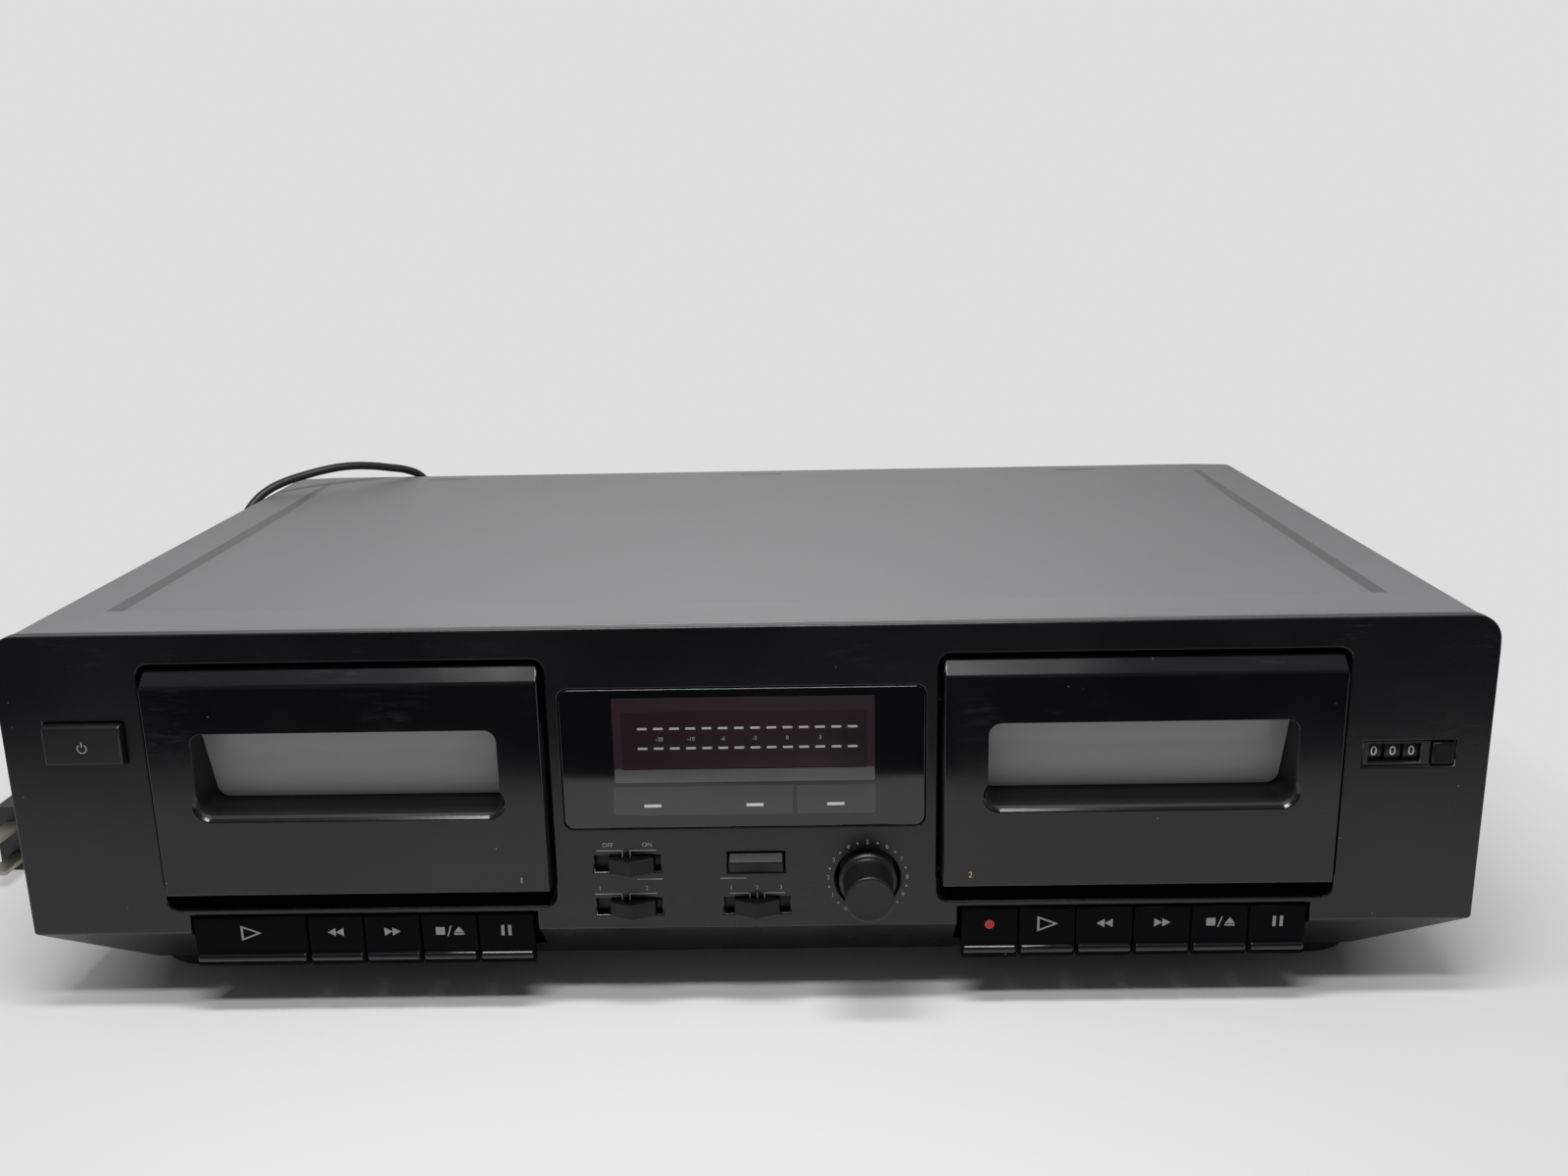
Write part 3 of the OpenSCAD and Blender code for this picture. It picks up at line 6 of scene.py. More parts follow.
import bmesh
import bpy
import numpy as np
from bpy.props import FloatProperty, FloatVectorProperty, PointerProperty
from mathutils import Matrix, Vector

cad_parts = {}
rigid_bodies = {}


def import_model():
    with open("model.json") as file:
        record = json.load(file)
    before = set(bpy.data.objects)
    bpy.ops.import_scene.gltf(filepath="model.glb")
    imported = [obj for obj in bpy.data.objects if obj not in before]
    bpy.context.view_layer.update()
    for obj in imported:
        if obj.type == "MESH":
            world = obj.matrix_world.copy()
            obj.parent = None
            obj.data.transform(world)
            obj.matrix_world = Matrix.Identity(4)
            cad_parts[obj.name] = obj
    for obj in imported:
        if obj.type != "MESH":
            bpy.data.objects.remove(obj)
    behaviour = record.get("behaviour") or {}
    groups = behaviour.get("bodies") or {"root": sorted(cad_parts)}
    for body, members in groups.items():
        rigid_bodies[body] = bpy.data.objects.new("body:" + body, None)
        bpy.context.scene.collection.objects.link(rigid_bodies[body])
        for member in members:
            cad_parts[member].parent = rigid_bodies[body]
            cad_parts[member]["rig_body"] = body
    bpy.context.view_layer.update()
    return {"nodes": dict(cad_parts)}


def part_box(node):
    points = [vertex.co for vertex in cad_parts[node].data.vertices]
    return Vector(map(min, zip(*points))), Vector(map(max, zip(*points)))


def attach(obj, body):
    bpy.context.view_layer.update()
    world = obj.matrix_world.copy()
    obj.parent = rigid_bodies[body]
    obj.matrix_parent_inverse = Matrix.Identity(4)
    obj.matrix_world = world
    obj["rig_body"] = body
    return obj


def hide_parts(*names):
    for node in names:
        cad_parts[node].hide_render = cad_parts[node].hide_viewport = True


bl_info = {
    "name": "Double Cassette Deck",
    "version": (1, 0, 0),
    "blender": (4, 5, 0),
    "location": "View3D > Sidebar > Deck",
    "description": "Dresses a double cassette deck with its finishes, marks, cord and studio",
    "category": "Object",
}

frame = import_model()
NODES = frame["nodes"]

# Face millimetres: x from the deck's middle, y back from the front face, z up from the floor.
MM = 0.001
FACE_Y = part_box("front_panel")[0].y
CHIN_TOP = 26.5
# Points that count as one, edges that count as flat, and edges that stay sharp
WELD = 2e-6
FLAT = radians(0.5)
SHARP = radians(32)


def placed(points):
    """Turns face millimetres into the frame's metres: scaled down, then moved back to the face."""
    return np.asarray(points, float) * MM + (0.0, FACE_Y, 0.0)


def middle(name):
    """Middle of a CAD piece's box in face millimetres."""
    low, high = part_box(name)
    return ((np.array(low) + np.array(high)) / 2 - (0.0, FACE_Y, 0.0)) / MM


def front_of(name):
    """Front of a CAD piece in face millimetres."""
    return (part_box(name)[0].y - FACE_Y) / MM


# Properties


def colour(name, description, default):
    """A colour that the panel shows."""
    return FloatVectorProperty(
        name=name, description=description, default=default, subtype="COLOR", size=3, min=0.0, max=1.0
    )


def distance(name, description, default):
    """A length that the panel shows, in metres."""
    return FloatProperty(
        name=name, description=description, default=default, min=0.0, unit="LENGTH", precision=5
    )


class CameraSettings(bpy.types.PropertyGroup):
    """Where the camera stands and looks."""

    place: FloatVectorProperty(
        name="Place", description="Where the lens is", default=(0.018484, -0.508755, 0.233153),
        subtype="XYZ", unit="LENGTH",
    )
    turn: FloatVectorProperty(
        name="Turn", description="How the camera is turned from looking straight down",
        default=(radians(75.222), radians(1.051), radians(0.555)), subtype="EULER", unit="ROTATION",
    )
    lens: FloatProperty(
        name="Lens", description="Focal length on a 36 mm sensor", default=32.787, unit="CAMERA", min=1.0
    )


class CordSettings(bpy.types.PropertyGroup):
    """The mains cord."""

    thickness: distance("Thickness", "Outside diameter of the cord", 0.0035)
    length: distance("Length", "Whole length of the cord from the grommet to the plug", 1.5)
    rubber: colour("Rubber", "Sheath, grommet and plug", (0.012, 0.012, 0.013))
    blade: colour("Blades", "Plated blades of the plug", (0.42, 0.39, 0.32))
    tie: colour("Tie", "Paper tie round the coil", (0.35, 0.34, 0.3))


class HousingSettings(bpy.types.PropertyGroup):
    """Front panel, cover, rear panel and base."""

    plastic: colour("Front plastic", "Satin moulded front panel", (0.0035, 0.0037, 0.0047))
    paint: colour("Cover paint", "Fine-grained paint of the cover and rear panel", (0.17, 0.172, 0.176))
    zinc: colour("Zinc", "Plated steel of the base, screws and frames", (0.56, 0.56, 0.54))
    foot: colour("Feet", "Rubber feet", (0.013, 0.013, 0.014))
    face_edge: distance("Face edge", "Radius of the front panel's edges", 0.0005)
    sheet_edge: distance("Sheet edge", "Radius of the cover's folded edges", 0.0006)
    foot_edge: distance("Foot edge", "Radius of the feet's edges", 0.0008)


class DoorSettings(bpy.types.PropertyGroup):
    """Cassette doors, panes and holders."""

    plastic: colour("Door plastic", "Semi-gloss moulded doors", (0.0033, 0.0035, 0.0044))
    pane: colour("Pane", "Tinted pane in front of the cassette, at its top", (0.228, 0.233, 0.228))
    # Painted light: the paler colour that the pane takes towards its lower edge
    pane_low: colour("Pane, low", "Fainter tint at the pane's lower edge", (0.83, 0.845, 0.83))
    holder: colour("Holder", "Matte holder behind the door", (0.03, 0.03, 0.031))
    edge: distance("Edge", "Radius of the door's edges", 0.0007)


class ControlSettings(bpy.types.PropertyGroup):
    """Keys, buttons, switches and the level knob."""

    key: colour("Key plastic", "Satin keys", (0.0033, 0.0034, 0.0042))
    button: colour("Button plastic", "Satin power button and knob", (0.007, 0.0072, 0.0078))
    switch: colour("Switch plastic", "Dull slides and small buttons", (0.004, 0.0041, 0.0046))
    key_edge: distance("Key edge", "Radius of the keys' edges", 0.0004)
    button_edge: distance("Button edge", "Radius of the buttons' edges", 0.0005)
    knob_radius: distance("Knob radius", "Radius of the level knob's front", 0.0071)


class MarkSettings(bpy.types.PropertyGroup):
    """Printed marks."""

    ink: colour("Ink", "Pale grey print on the face", (0.25, 0.25, 0.26))
    bright: colour("Bright ink", "Whiter print of the indicator lights and the counter", (0.62, 0.62, 0.62))
    bars: colour("Bar ink", "Bars of the level meter", (0.36, 0.36, 0.37))
    red: colour("Red ink", "Dot on the record key", (0.36, 0.02, 0.012))
    gold: colour("Gold ink", "Numbers on the doors", (0.56, 0.38, 0.17))
    thickness: distance("Ink thickness", "How far the print stands out", 0.00003)


class MeterSettings(bpy.types.PropertyGroup):
    """Level meter window and tape counter."""

    smoke: colour("Smoked window", "Glossy smoked window", (0.0035, 0.0036, 0.0045))
    glow: colour("Display", "Display area behind the window", (0.021, 0.0125, 0.0155))
    surround: colour("Surround", "Frame of the display behind the window", (0.0295, 0.0185, 0.0225))
    rail: colour("Rail", "Lower rail of the display's frame", (0.08, 0.081, 0.079))
    plate: colour("Plate", "Plates of the indicator lights", (0.030, 0.0305, 0.0305))
    wheel: colour("Wheel", "Number wheels", (0.006, 0.006, 0.0065))
    bezel: colour("Bezel", "Dark lip around the counter", (0.014, 0.014, 0.0145))


class MechanismSettings(bpy.types.PropertyGroup):
    """Tape drive and electronics."""

    reel: colour("Reel", "Off-white reel hubs", (0.62, 0.6, 0.55))
    brass: colour("Brass", "Flywheels and pulleys", (0.62, 0.44, 0.18))
    belt: colour("Belts", "Belts and pinch rollers", (0.012, 0.012, 0.013))
    switch: colour("Switches", "Bodies of the switches", (0.03, 0.03, 0.031))
    board: colour("Board", "Circuit boards", (0.03, 0.11, 0.04))
    iron: colour("Iron", "Transformer core", (0.09, 0.07, 0.05))
    jack: colour("Jack", "Plated jack sleeves", (0.75, 0.74, 0.72))
    left: colour("Left channel", "Jack inserts of the left channel", (0.5, 0.49, 0.46))
    right: colour("Right channel", "Jack inserts of the right channel", (0.4, 0.012, 0.01))


class StageSettings(bpy.types.PropertyGroup):
    """Floor, backdrop and light."""

    floor: colour("Floor", "Pale table top", (0.79, 0.79, 0.768))
    wall: colour("Backdrop", "Pale backdrop that the camera sees", (0.73, 0.73, 0.735))
    spot: colour("Spot", "Bright spot of the backdrop that gloss sees", (1.0, 1.0, 1.0))
    beside: colour("Beside the spot", "Dimmer backdrop round the spot that gloss sees", (0.45, 0.45, 0.455))
    room: colour("Room", "Dim room in front of the deck that gloss sees", (0.094, 0.098, 0.118))
    dark: colour("Past the table", "Dark room that low gloss sees past the table's edge", (0.008, 0.009, 0.015))
    ambient: FloatProperty(name="Ambient", description="Strength of the even light", default=0.14, min=0.0)
    lamp: FloatProperty(
        name="Lamps", description="Power of each of the two long soft lamps", default=2.9, min=0.0, unit="POWER"
    )
    table: distance("Table reach", "How far the pale table reaches in front of the deck", 0.176)


class DeckSettings(bpy.types.PropertyGroup):
    """All settings of the deck."""

    camera: PointerProperty(type=CameraSettings)
    cord: PointerProperty(type=CordSettings)
    housing: PointerProperty(type=HousingSettings)
    doors: PointerProperty(type=DoorSettings)
    controls: PointerProperty(type=ControlSettings)
    marks: PointerProperty(type=MarkSettings)
    meter: PointerProperty(type=MeterSettings)
    mechanism: PointerProperty(type=MechanismSettings)
    stage: PointerProperty(type=StageSettings)


def settings():
    """The deck's settings in the scene."""
    return bpy.context.scene.deck_settings


# Shared surface effects


def effect(name, inputs, outputs):
    """A new node group with float inputs after its Vector, and named outputs; returns its tree and both ends."""
    tree = bpy.data.node_groups.new(name, "ShaderNodeTree")
    tree.interface.new_socket("Vector", in_out="INPUT", socket_type="NodeSocketVector")
    for label, default in inputs:
        socket = tree.interface.new_socket(label, in_out="INPUT", socket_type="NodeSocketFloat")
        socket.default_value = default
    for label in outputs:
        tree.interface.new_socket(label, in_out="OUTPUT", socket_type="NodeSocketFloat")
    return tree, tree.nodes.new("NodeGroupInput"), tree.nodes.new("NodeGroupOutput")


def node(tree, kind, values=(), links=(), **options):
    """Adds a node, sets its options and its sockets' values, and links sockets to it."""
    made = tree.nodes.new(kind)
    for key, value in options.items():
        setattr(made, key, value)
    for key, value in dict(values).items():
        made.inputs[key].default_value = value
    for key, socket in dict(links).items():
        tree.links.new(socket, made.inputs[key])
    return made


def feed(tree, socket, value):
    """Sets a socket to a number or a colour, or links it to another socket."""
    if isinstance(value, bpy.types.NodeSocket):
        tree.links.new(value, socket)
    else:
        socket.default_value = value if isinstance(value, (int, float)) else (*value, 1.0)


def noise(tree, vector, scale, detail=3.0, **values):
    """Noise texture on a vector; scale is a socket or a number."""
    made = node(tree, "ShaderNodeTexNoise", {"Detail": detail, **values}, {"Vector": vector})
    feed(tree, made.inputs["Scale"], scale)
    return made.outputs[0]


def ramp(tree, value, low, high, to_low=0.0, to_high=1.0):
    """Stretches the values between low and high to the range from to_low to to_high, clamped."""
    return node(tree, "ShaderNodeMapRange", {1: low, 2: high, 3: to_low, 4: to_high}, {0: value}).outputs[0]


def maths(tree, operation, a, b=0.0):
    """Math node on one or two values, each a socket or a number."""
    made = node(tree, "ShaderNodeMath", operation=operation)
    feed(tree, made.inputs[0], a)
    feed(tree, made.inputs[1], b)
    return made.outputs[0]


def mixed(tree, mask, a, b):
    """Colour a where the mask is 0 and b where it is 1; a and b are colours or sockets."""
    made = node(tree, "ShaderNodeMix", links={0: mask}, data_type="RGBA")
    feed(tree, made.inputs[6], a)
    feed(tree, made.inputs[7], b)
    return made.outputs[2]


def between(tree, value, low, high):
    """1 where a length in metres lies between two others in millimetres, otherwise 0."""
    return maths(tree, "MULTIPLY", maths(tree, "GREATER_THAN", value, low * MM),
                 maths(tree, "LESS_THAN", value, high * MM))


def moulded_grain():
    """Fine pits of a mould: small noise is the height, wide slow noise is the change of tone."""
    tree, start, end = effect("Moulded grain", [("Scale", 1500.0), ("Spread", 18.0)], ["Height", "Tone"])
    pits = noise(tree, start.outputs["Vector"], start.outputs["Scale"], 4.0, Roughness=0.65)
    slow = noise(tree, start.outputs["Vector"], start.outputs["Spread"])
    tree.links.new(pits, end.inputs["Height"])
    tree.links.new(ramp(tree, slow, 0.3, 0.7), end.inputs["Tone"])
    return tree


def dust_specks():
    """Bright specks: the heart of few cells of a cell pattern, picked by each cell's own random value."""
    tree, start, end = effect("Dust specks", [("Scale", 700.0), ("Size", 0.13), ("Amount", 0.01)], ["Mask"])
    cells = node(tree, "ShaderNodeTexVoronoi", {"Randomness": 1.0},
                 {"Vector": start.outputs["Vector"], "Scale": start.outputs["Scale"]})
    inside = maths(tree, "LESS_THAN", cells.outputs["Distance"], start.outputs["Size"])
    pick = node(tree, "ShaderNodeSeparateColor", links={"Color": cells.outputs["Color"]})
    chosen = maths(tree, "LESS_THAN", pick.outputs[0], start.outputs["Amount"])
    tree.links.new(maths(tree, "MULTIPLY", inside, chosen), end.inputs["Mask"])
    return tree


def scuff_streaks():
    """Rubbed streaks: noise drawn out along x, kept where a wide noise is high."""
    tree, start, end = effect("Scuff streaks", [("Scale", 60.0), ("Amount", 0.4)], ["Mask"])
    drawn = node(tree, "ShaderNodeMapping", {"Rotation": (0.0, radians(18), 0.0), "Scale": (0.16, 1.0, 1.0)},
                 {"Vector": start.outputs["Vector"]})
    fine = maths(tree, "MULTIPLY", start.outputs["Scale"], 14.0)
    lines = noise(tree, drawn.outputs[0], fine, 5.0, Roughness=0.7)
    patch = noise(tree, start.outputs["Vector"], start.outputs["Scale"], 2.0)
    kept = maths(tree, "MULTIPLY", ramp(tree, lines, 0.5, 0.68), ramp(tree, patch, 0.52, 0.7))
    tree.links.new(maths(tree, "MULTIPLY", kept, start.outputs["Amount"]), end.inputs["Mask"])
    return tree


def drawn_lines():
    """Lines of rolled metal: noise drawn out along x as height and tone."""
    tree, start, end = effect("Drawn lines", [("Scale", 900.0)], ["Height", "Tone"])
    drawn = node(tree, "ShaderNodeMapping", {"Scale": (0.03, 1.0, 1.0)}, {"Vector": start.outputs["Vector"]})
    lines = noise(tree, drawn.outputs[0], start.outputs["Scale"], 4.0, Roughness=0.7)
    tree.links.new(lines, end.inputs["Height"])
    tree.links.new(ramp(tree, lines, 0.35, 0.65), end.inputs["Tone"])
    return tree


EFFECTS = {}


def placed_effect(tree, make, vector, **values):
    """Puts a shared effect, which is made once, into a material with its own values."""
    if make not in EFFECTS:
        EFFECTS[make] = make()
    return node(tree, "ShaderNodeGroup", values, {"Vector": vector}, node_tree=EFFECTS[make]).outputs


# Finishes

COAT_ROUGH = 0.04
# How much paler and duller a scuff is, and the colour and dullness of dust
SCUFF_PALE, SCUFF_DULL = 0.035, 0.18
DUST, DUST_DULL = (0.2, 0.2, 0.2), 0.4


def shaded(colour, factor):
    """A colour times a factor."""
    return tuple(min(1.0, channel * factor) for channel in colour)


def finish(name, colour, roughness, spread=0.05, tone=0.2, grain=1500.0, pit=0.00001, metallic=0.0,
           dust=0.0, scuff=0.0, lines=False, ior=1.5, gloss=0.5):
    """Surface with grain, slow change of tone, and where asked dust and scuffs; lines makes it rolled metal."""
    if name in bpy.data.materials:
        return bpy.data.materials[name]
    material = bpy.data.materials.new(name)
    material.use_nodes = True
    tree = material.node_tree
    shader = tree.nodes["Principled BSDF"]
    vector = tree.nodes.new("ShaderNodeTexCoord").outputs["Object"]
    surface = placed_effect(tree, drawn_lines if lines else moulded_grain, vector, Scale=grain)
    base = mixed(tree, surface["Tone"], shaded(colour, 1 - tone), shaded(colour, 1 + tone))
    rough = ramp(tree, surface["Tone"], 0.0, 1.0, roughness - spread, roughness + spread)
    if scuff:
        mask = placed_effect(tree, scuff_streaks, vector, Amount=scuff)["Mask"]
        base = mixed(tree, mask, base, tuple(channel + SCUFF_PALE for channel in colour))
        rough = maths(tree, "ADD", rough, maths(tree, "MULTIPLY", mask, SCUFF_DULL))
    if dust:
        mask = placed_effect(tree, dust_specks, vector, Amount=dust)["Mask"]
        base = mixed(tree, mask, base, DUST)
        rough = maths(tree, "ADD", rough, maths(tree, "MULTIPLY", mask, DUST_DULL))
    bump = node(tree, "ShaderNodeBump", {"Strength": 1.0, "Distance": pit}, {"Height": surface["Height"]})
    tree.links.new(base, shader.inputs["Base Color"])
    tree.links.new(rough, shader.inputs["Roughness"])
    tree.links.new(bump.outputs[0], shader.inputs["Normal"])
    shader.inputs["Metallic"].default_value = metallic
    shader.inputs["Coat Roughness"].default_value = COAT_ROUGH
    shader.inputs["IOR"].default_value = ior
    shader.inputs["Specular IOR Level"].default_value = gloss
    return material


def coordinate(tree, axis):
    """Where a point of a finish lies along one axis of the part's frame."""
    vector = next(n for n in tree.nodes if n.bl_idname == "ShaderNodeTexCoord").outputs["Object"]
    return node(tree, "ShaderNodeSeparateXYZ", links={"Vector": vector}).outputs[axis]


def recoloured(material, mask, colour):
    """Mixes another colour into a finish where the mask is 1."""
    tree = material.node_tree
    base = tree.nodes["Principled BSDF"].inputs["Base Color"]
    tree.links.new(mixed(tree, mask, base.links[0].from_socket, colour), base)


def ink(name, colour):
    """Printed ink: a little uneven in tone, satin."""
    return finish(name, colour, 0.45, tone=0.08, grain=3000.0, pit=0.000002)


def zinc_finish(house):
    """Plated steel with fine lines of the rolled sheet."""
    return finish("Zinc plate", house.zinc, 0.34, tone=0.12, grain=700.0, pit=0.000004, metallic=1.0, lines=True)


# Building pieces


def piece(name, mesh, material, body, replaces=()):
    """Puts a mesh into the scene as a piece with one finish, riding on a body."""
    made = bpy.data.objects.new(name, mesh)
    bpy.context.scene.collection.objects.link(made)
    made.data.materials.clear()
    made.data.materials.append(material)
    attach(made, body)
    if replaces:
        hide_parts(*replaces)
    return made


# Radii of small edges in metres, and how deep behind the face rounded edges reach
FINE_EDGE, SMALL_EDGE = 0.0002, 0.0003
SHELL_DEPTH, BUTTON_DEPTH, WINDOW_DEPTH, BEZEL_DEPTH = 12.0, 3.0, 0.5, 1.0


def nearer(depth):
    """Picks the edges that lie less than a depth behind the face, for softened."""
    return lambda at: at[:, 1] < depth


def softened(name, radius, material, segments=3, where=None):
    """Merged copy of a CAD piece in its place, its sharp outer edges rounded by a bevel of that radius.

    where gives the share of the radius that an edge takes by its middle, an array of face millimetres; without it
    all sharp edges take all of it.
    """
    mesh = NODES[name].data.copy()
    work = bmesh.new()
    work.from_mesh(mesh)
    bmesh.ops.remove_doubles(work, verts=work.verts, dist=WELD)
    bmesh.ops.dissolve_limit(work, angle_limit=FLAT, verts=work.verts, edges=work.edges)
    middles = np.array([(edge.verts[0].co + edge.verts[1].co) / 2 for edge in work.edges])
    middles = (middles - (0.0, FACE_Y, 0.0)) / MM
    turns = np.array([edge.calc_face_angle_signed(0.0) for edge in work.edges])
    shares = (turns > SHARP) * (1.0 if where is None else where(middles))
    weight = work.edges.layers.float.new("bevel_weight_edge")
    for edge, taken in zip(work.edges, shares):
        edge[weight] = taken
    work.to_mesh(mesh)
    work.free()
    mesh.shade_smooth()
    mesh.set_sharp_from_angle(angle=SHARP)
    made = piece(name + "_dressed", mesh, material, NODES[name]["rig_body"], [name])
    bevel = made.modifiers.new("Rounded edges", "BEVEL")
    bevel.limit_method = "WEIGHT"
    bevel.width = radius
    bevel.segments = segments
    bevel.use_clamp_overlap = False
    even = made.modifiers.new("Even flats", "WEIGHTED_NORMAL")
    even.weight = 100
    even.keep_sharp = True
    return made


def painted(names, material):
    """Gives CAD pieces that stay as they are their finish."""
    for name in names:
        NODES[name].data.materials.clear()
        NODES[name].data.materials.append(material)


def grid_mesh(name, points, wrap_rows=False, wrap_columns=False):
    """Mesh of quads over a grid of points, an array of rows by columns by 3 in metres, joined round where asked."""
    rows, columns = points.shape[:2]
    i = np.arange(rows if wrap_rows else rows - 1)[:, None]
    j = np.arange(columns if wrap_columns else columns - 1)[None, :]
    below, beside = (i + 1) % rows, (j + 1) % columns
    corners = (i * columns + j, i * columns + beside, below * columns + beside, below * columns + j)
    quads = np.stack(np.broadcast_arrays(*corners), -1)
    mesh = bpy.data.meshes.new(name)
    mesh.from_pydata(points.reshape(-1, 3), [], quads.reshape(-1, 4))
    work = bmesh.new()
    work.from_mesh(mesh)
    bmesh.ops.remove_doubles(work, verts=work.verts, dist=WELD)
    bmesh.ops.recalc_face_normals(work, faces=work.faces)
    work.to_mesh(mesh)
    work.free()
    mesh.shade_smooth()
    mesh.set_sharp_from_angle(angle=SHARP)
    return mesh


def turned(name, profile, centre, steps=72):
    """Surface of revolution about a line along y: each (radius, y) of the profile goes round the centre (x, z)."""
    radius, along = np.asarray(profile, float).T
    angle = np.linspace(0, 2 * pi, steps, endpoint=False)
    points = np.stack([
        centre[0] + radius[:, None] * np.cos(angle),
        np.broadcast_to(along[:, None], (len(along), steps)),
        centre[1] + radius[:, None] * np.sin(angle),
    ], -1)
    return grid_mesh(name, placed(points), wrap_columns=True)


def plate(outline, front, back):
    """Flat prism: an outline of (x, z) seen from the front, counterclockwise, from y = front back to y = back."""
    outline = np.asarray(outline, float)
    count = len(outline)
    near = np.insert(outline, 1, front, axis=1)
    far = np.insert(outline, 1, back, axis=1)
    i = np.arange(count)
    walls = np.stack([i, i + count, (i + 1) % count + count, (i + 1) % count], -1)
    mesh = bpy.data.meshes.new("plate")
    mesh.from_pydata(placed(np.concatenate([near, far])), [],
                     [list(range(count)), list(range(2 * count - 1, count - 1, -1)), *walls.tolist()])
    return mesh


def box_outline(x, z, w, h):
    """Corners of a rectangle around a middle."""
    return [(x - w / 2, z - h / 2), (x + w / 2, z - h / 2), (x + w / 2, z + h / 2), (x - w / 2, z + h / 2)]


def round_outline(x, z, w, h, r, steps=6):
    """Rectangle whose corners are quarter circles of radius r."""
    corners = [(1, -1, -pi / 2), (1, 1, 0), (-1, 1, pi / 2), (-1, -1, pi)]
    outline = []
    for side, end, start in corners:
        angle = np.linspace(0, pi / 2, steps) + start
        outline.append(np.stack([x + side * (w / 2 - r) + r * np.cos(angle),
                                 z + end * (h / 2 - r) + r * np.sin(angle)], -1))
    return np.concatenate(outline)


def round_points(x, z, r, angle):
    """Points on a circle about (x, z), one for each angle."""
    return np.stack([x + r * np.cos(angle), z + r * np.sin(angle)], -1)


def ring_outline(x, z, r, steps=24):
    """Circle as a polygon."""
    return round_points(x, z, r, np.linspace(0, 2 * pi, steps, endpoint=False))


def lettering(text, x, z, size, front, back):
    """Flat letters of a plain built-in face as a mesh: middle at (x, z), standing from y = back to y = front."""
    curve = bpy.data.curves.new("letters", "FONT")
    curve.body = text
    curve.align_x = "CENTER"
    curve.align_y = "CENTER"
    curve.size = size
    curve.extrude = (back - front) / 2
    curve.resolution_u = 3
    holder = bpy.data.objects.new("letters", curve)
    mesh = bpy.data.meshes.new_from_object(holder)
    bpy.data.objects.remove(holder)
    bpy.data.curves.remove(curve)
    facing = Matrix(((1, 0, 0, x), (0, 0, -1, (front + back) / 2), (0, 1, 0, z), (0, 0, 0, 1)))
    mesh.transform(Matrix.Translation((0, FACE_Y, 0)) @ Matrix.Scale(MM, 4) @ facing)
    return mesh


def joined(name, meshes):
    """One mesh of several."""
    work = bmesh.new()
    for mesh in meshes:
        work.from_mesh(mesh)
    bmesh.ops.remove_doubles(work, verts=work.verts, dist=WELD / 20)
    made = bpy.data.meshes.new(name)
    work.to_mesh(made)
    work.free()
    for mesh in meshes:
        bpy.data.meshes.remove(mesh)
    return made


def printed(name, meshes, material, body):
    """Joins the meshes of a print or film and puts them into the scene as one piece on a body."""
    return piece(name, joined(name, meshes), material, body)


# Operators


class DECK_OT_camera(bpy.types.Operator):
    """Set up the camera at the photograph's viewing angle"""

    bl_idname = "deck.camera"
    bl_label = "Camera"

    def execute(self, context):
        view = settings().camera
        lens = bpy.data.cameras.new("Camera")
        lens.sensor_width = 36.0
        lens.lens = view.lens
        lens.clip_start = 0.01
        camera = bpy.data.objects.new("Camera", lens)
        context.scene.collection.objects.link(camera)
        camera.location = view.place
        camera.rotation_euler = view.turn
        context.scene.camera = camera
        return {"FINISHED"}


# The cord: its grommet and the bow out of it, the coil beside the deck, and the plug
GLAND = (-150.0, 45.0)
RELIEF_Y = 274.0
BOW_Y, BOW_R = 277.5, 15.0
COIL_MIDDLE = np.array([-251.0, 170.641])
COIL_OUT, COIL_IN = 24.359, 15.641
COIL_PITCH, COIL_TURNS, COIL_LAYERS, COIL_STEPS = 4.5, 9.25, 4, 16
FLOOR_LAY = 1.8
COIL_TOP = FLOOR_LAY + (COIL_LAYERS - 1) * COIL_PITCH
PLUG_X, PLUG_Z, PLUG_END = -275.359, 12.65, 142.0
# Where the plug's rounded body begins and its blades end, and the radii of plug and grommet edges
PLUG_BODY, BLADE_END = 100.5, 99.8
PLUG_EDGE, GLAND_EDGE = 0.0012, 0.0004
# The tie: room round the cord, corner radius, half width, thickness, play, and height over the floor
TIE_ROOM, TIE_CORNER, TIE_HALF, TIE_THICK, TIE_PLAY, TIE_LOW = 2.1, 3.5, 2.2, 0.35, 0.05, 0.03


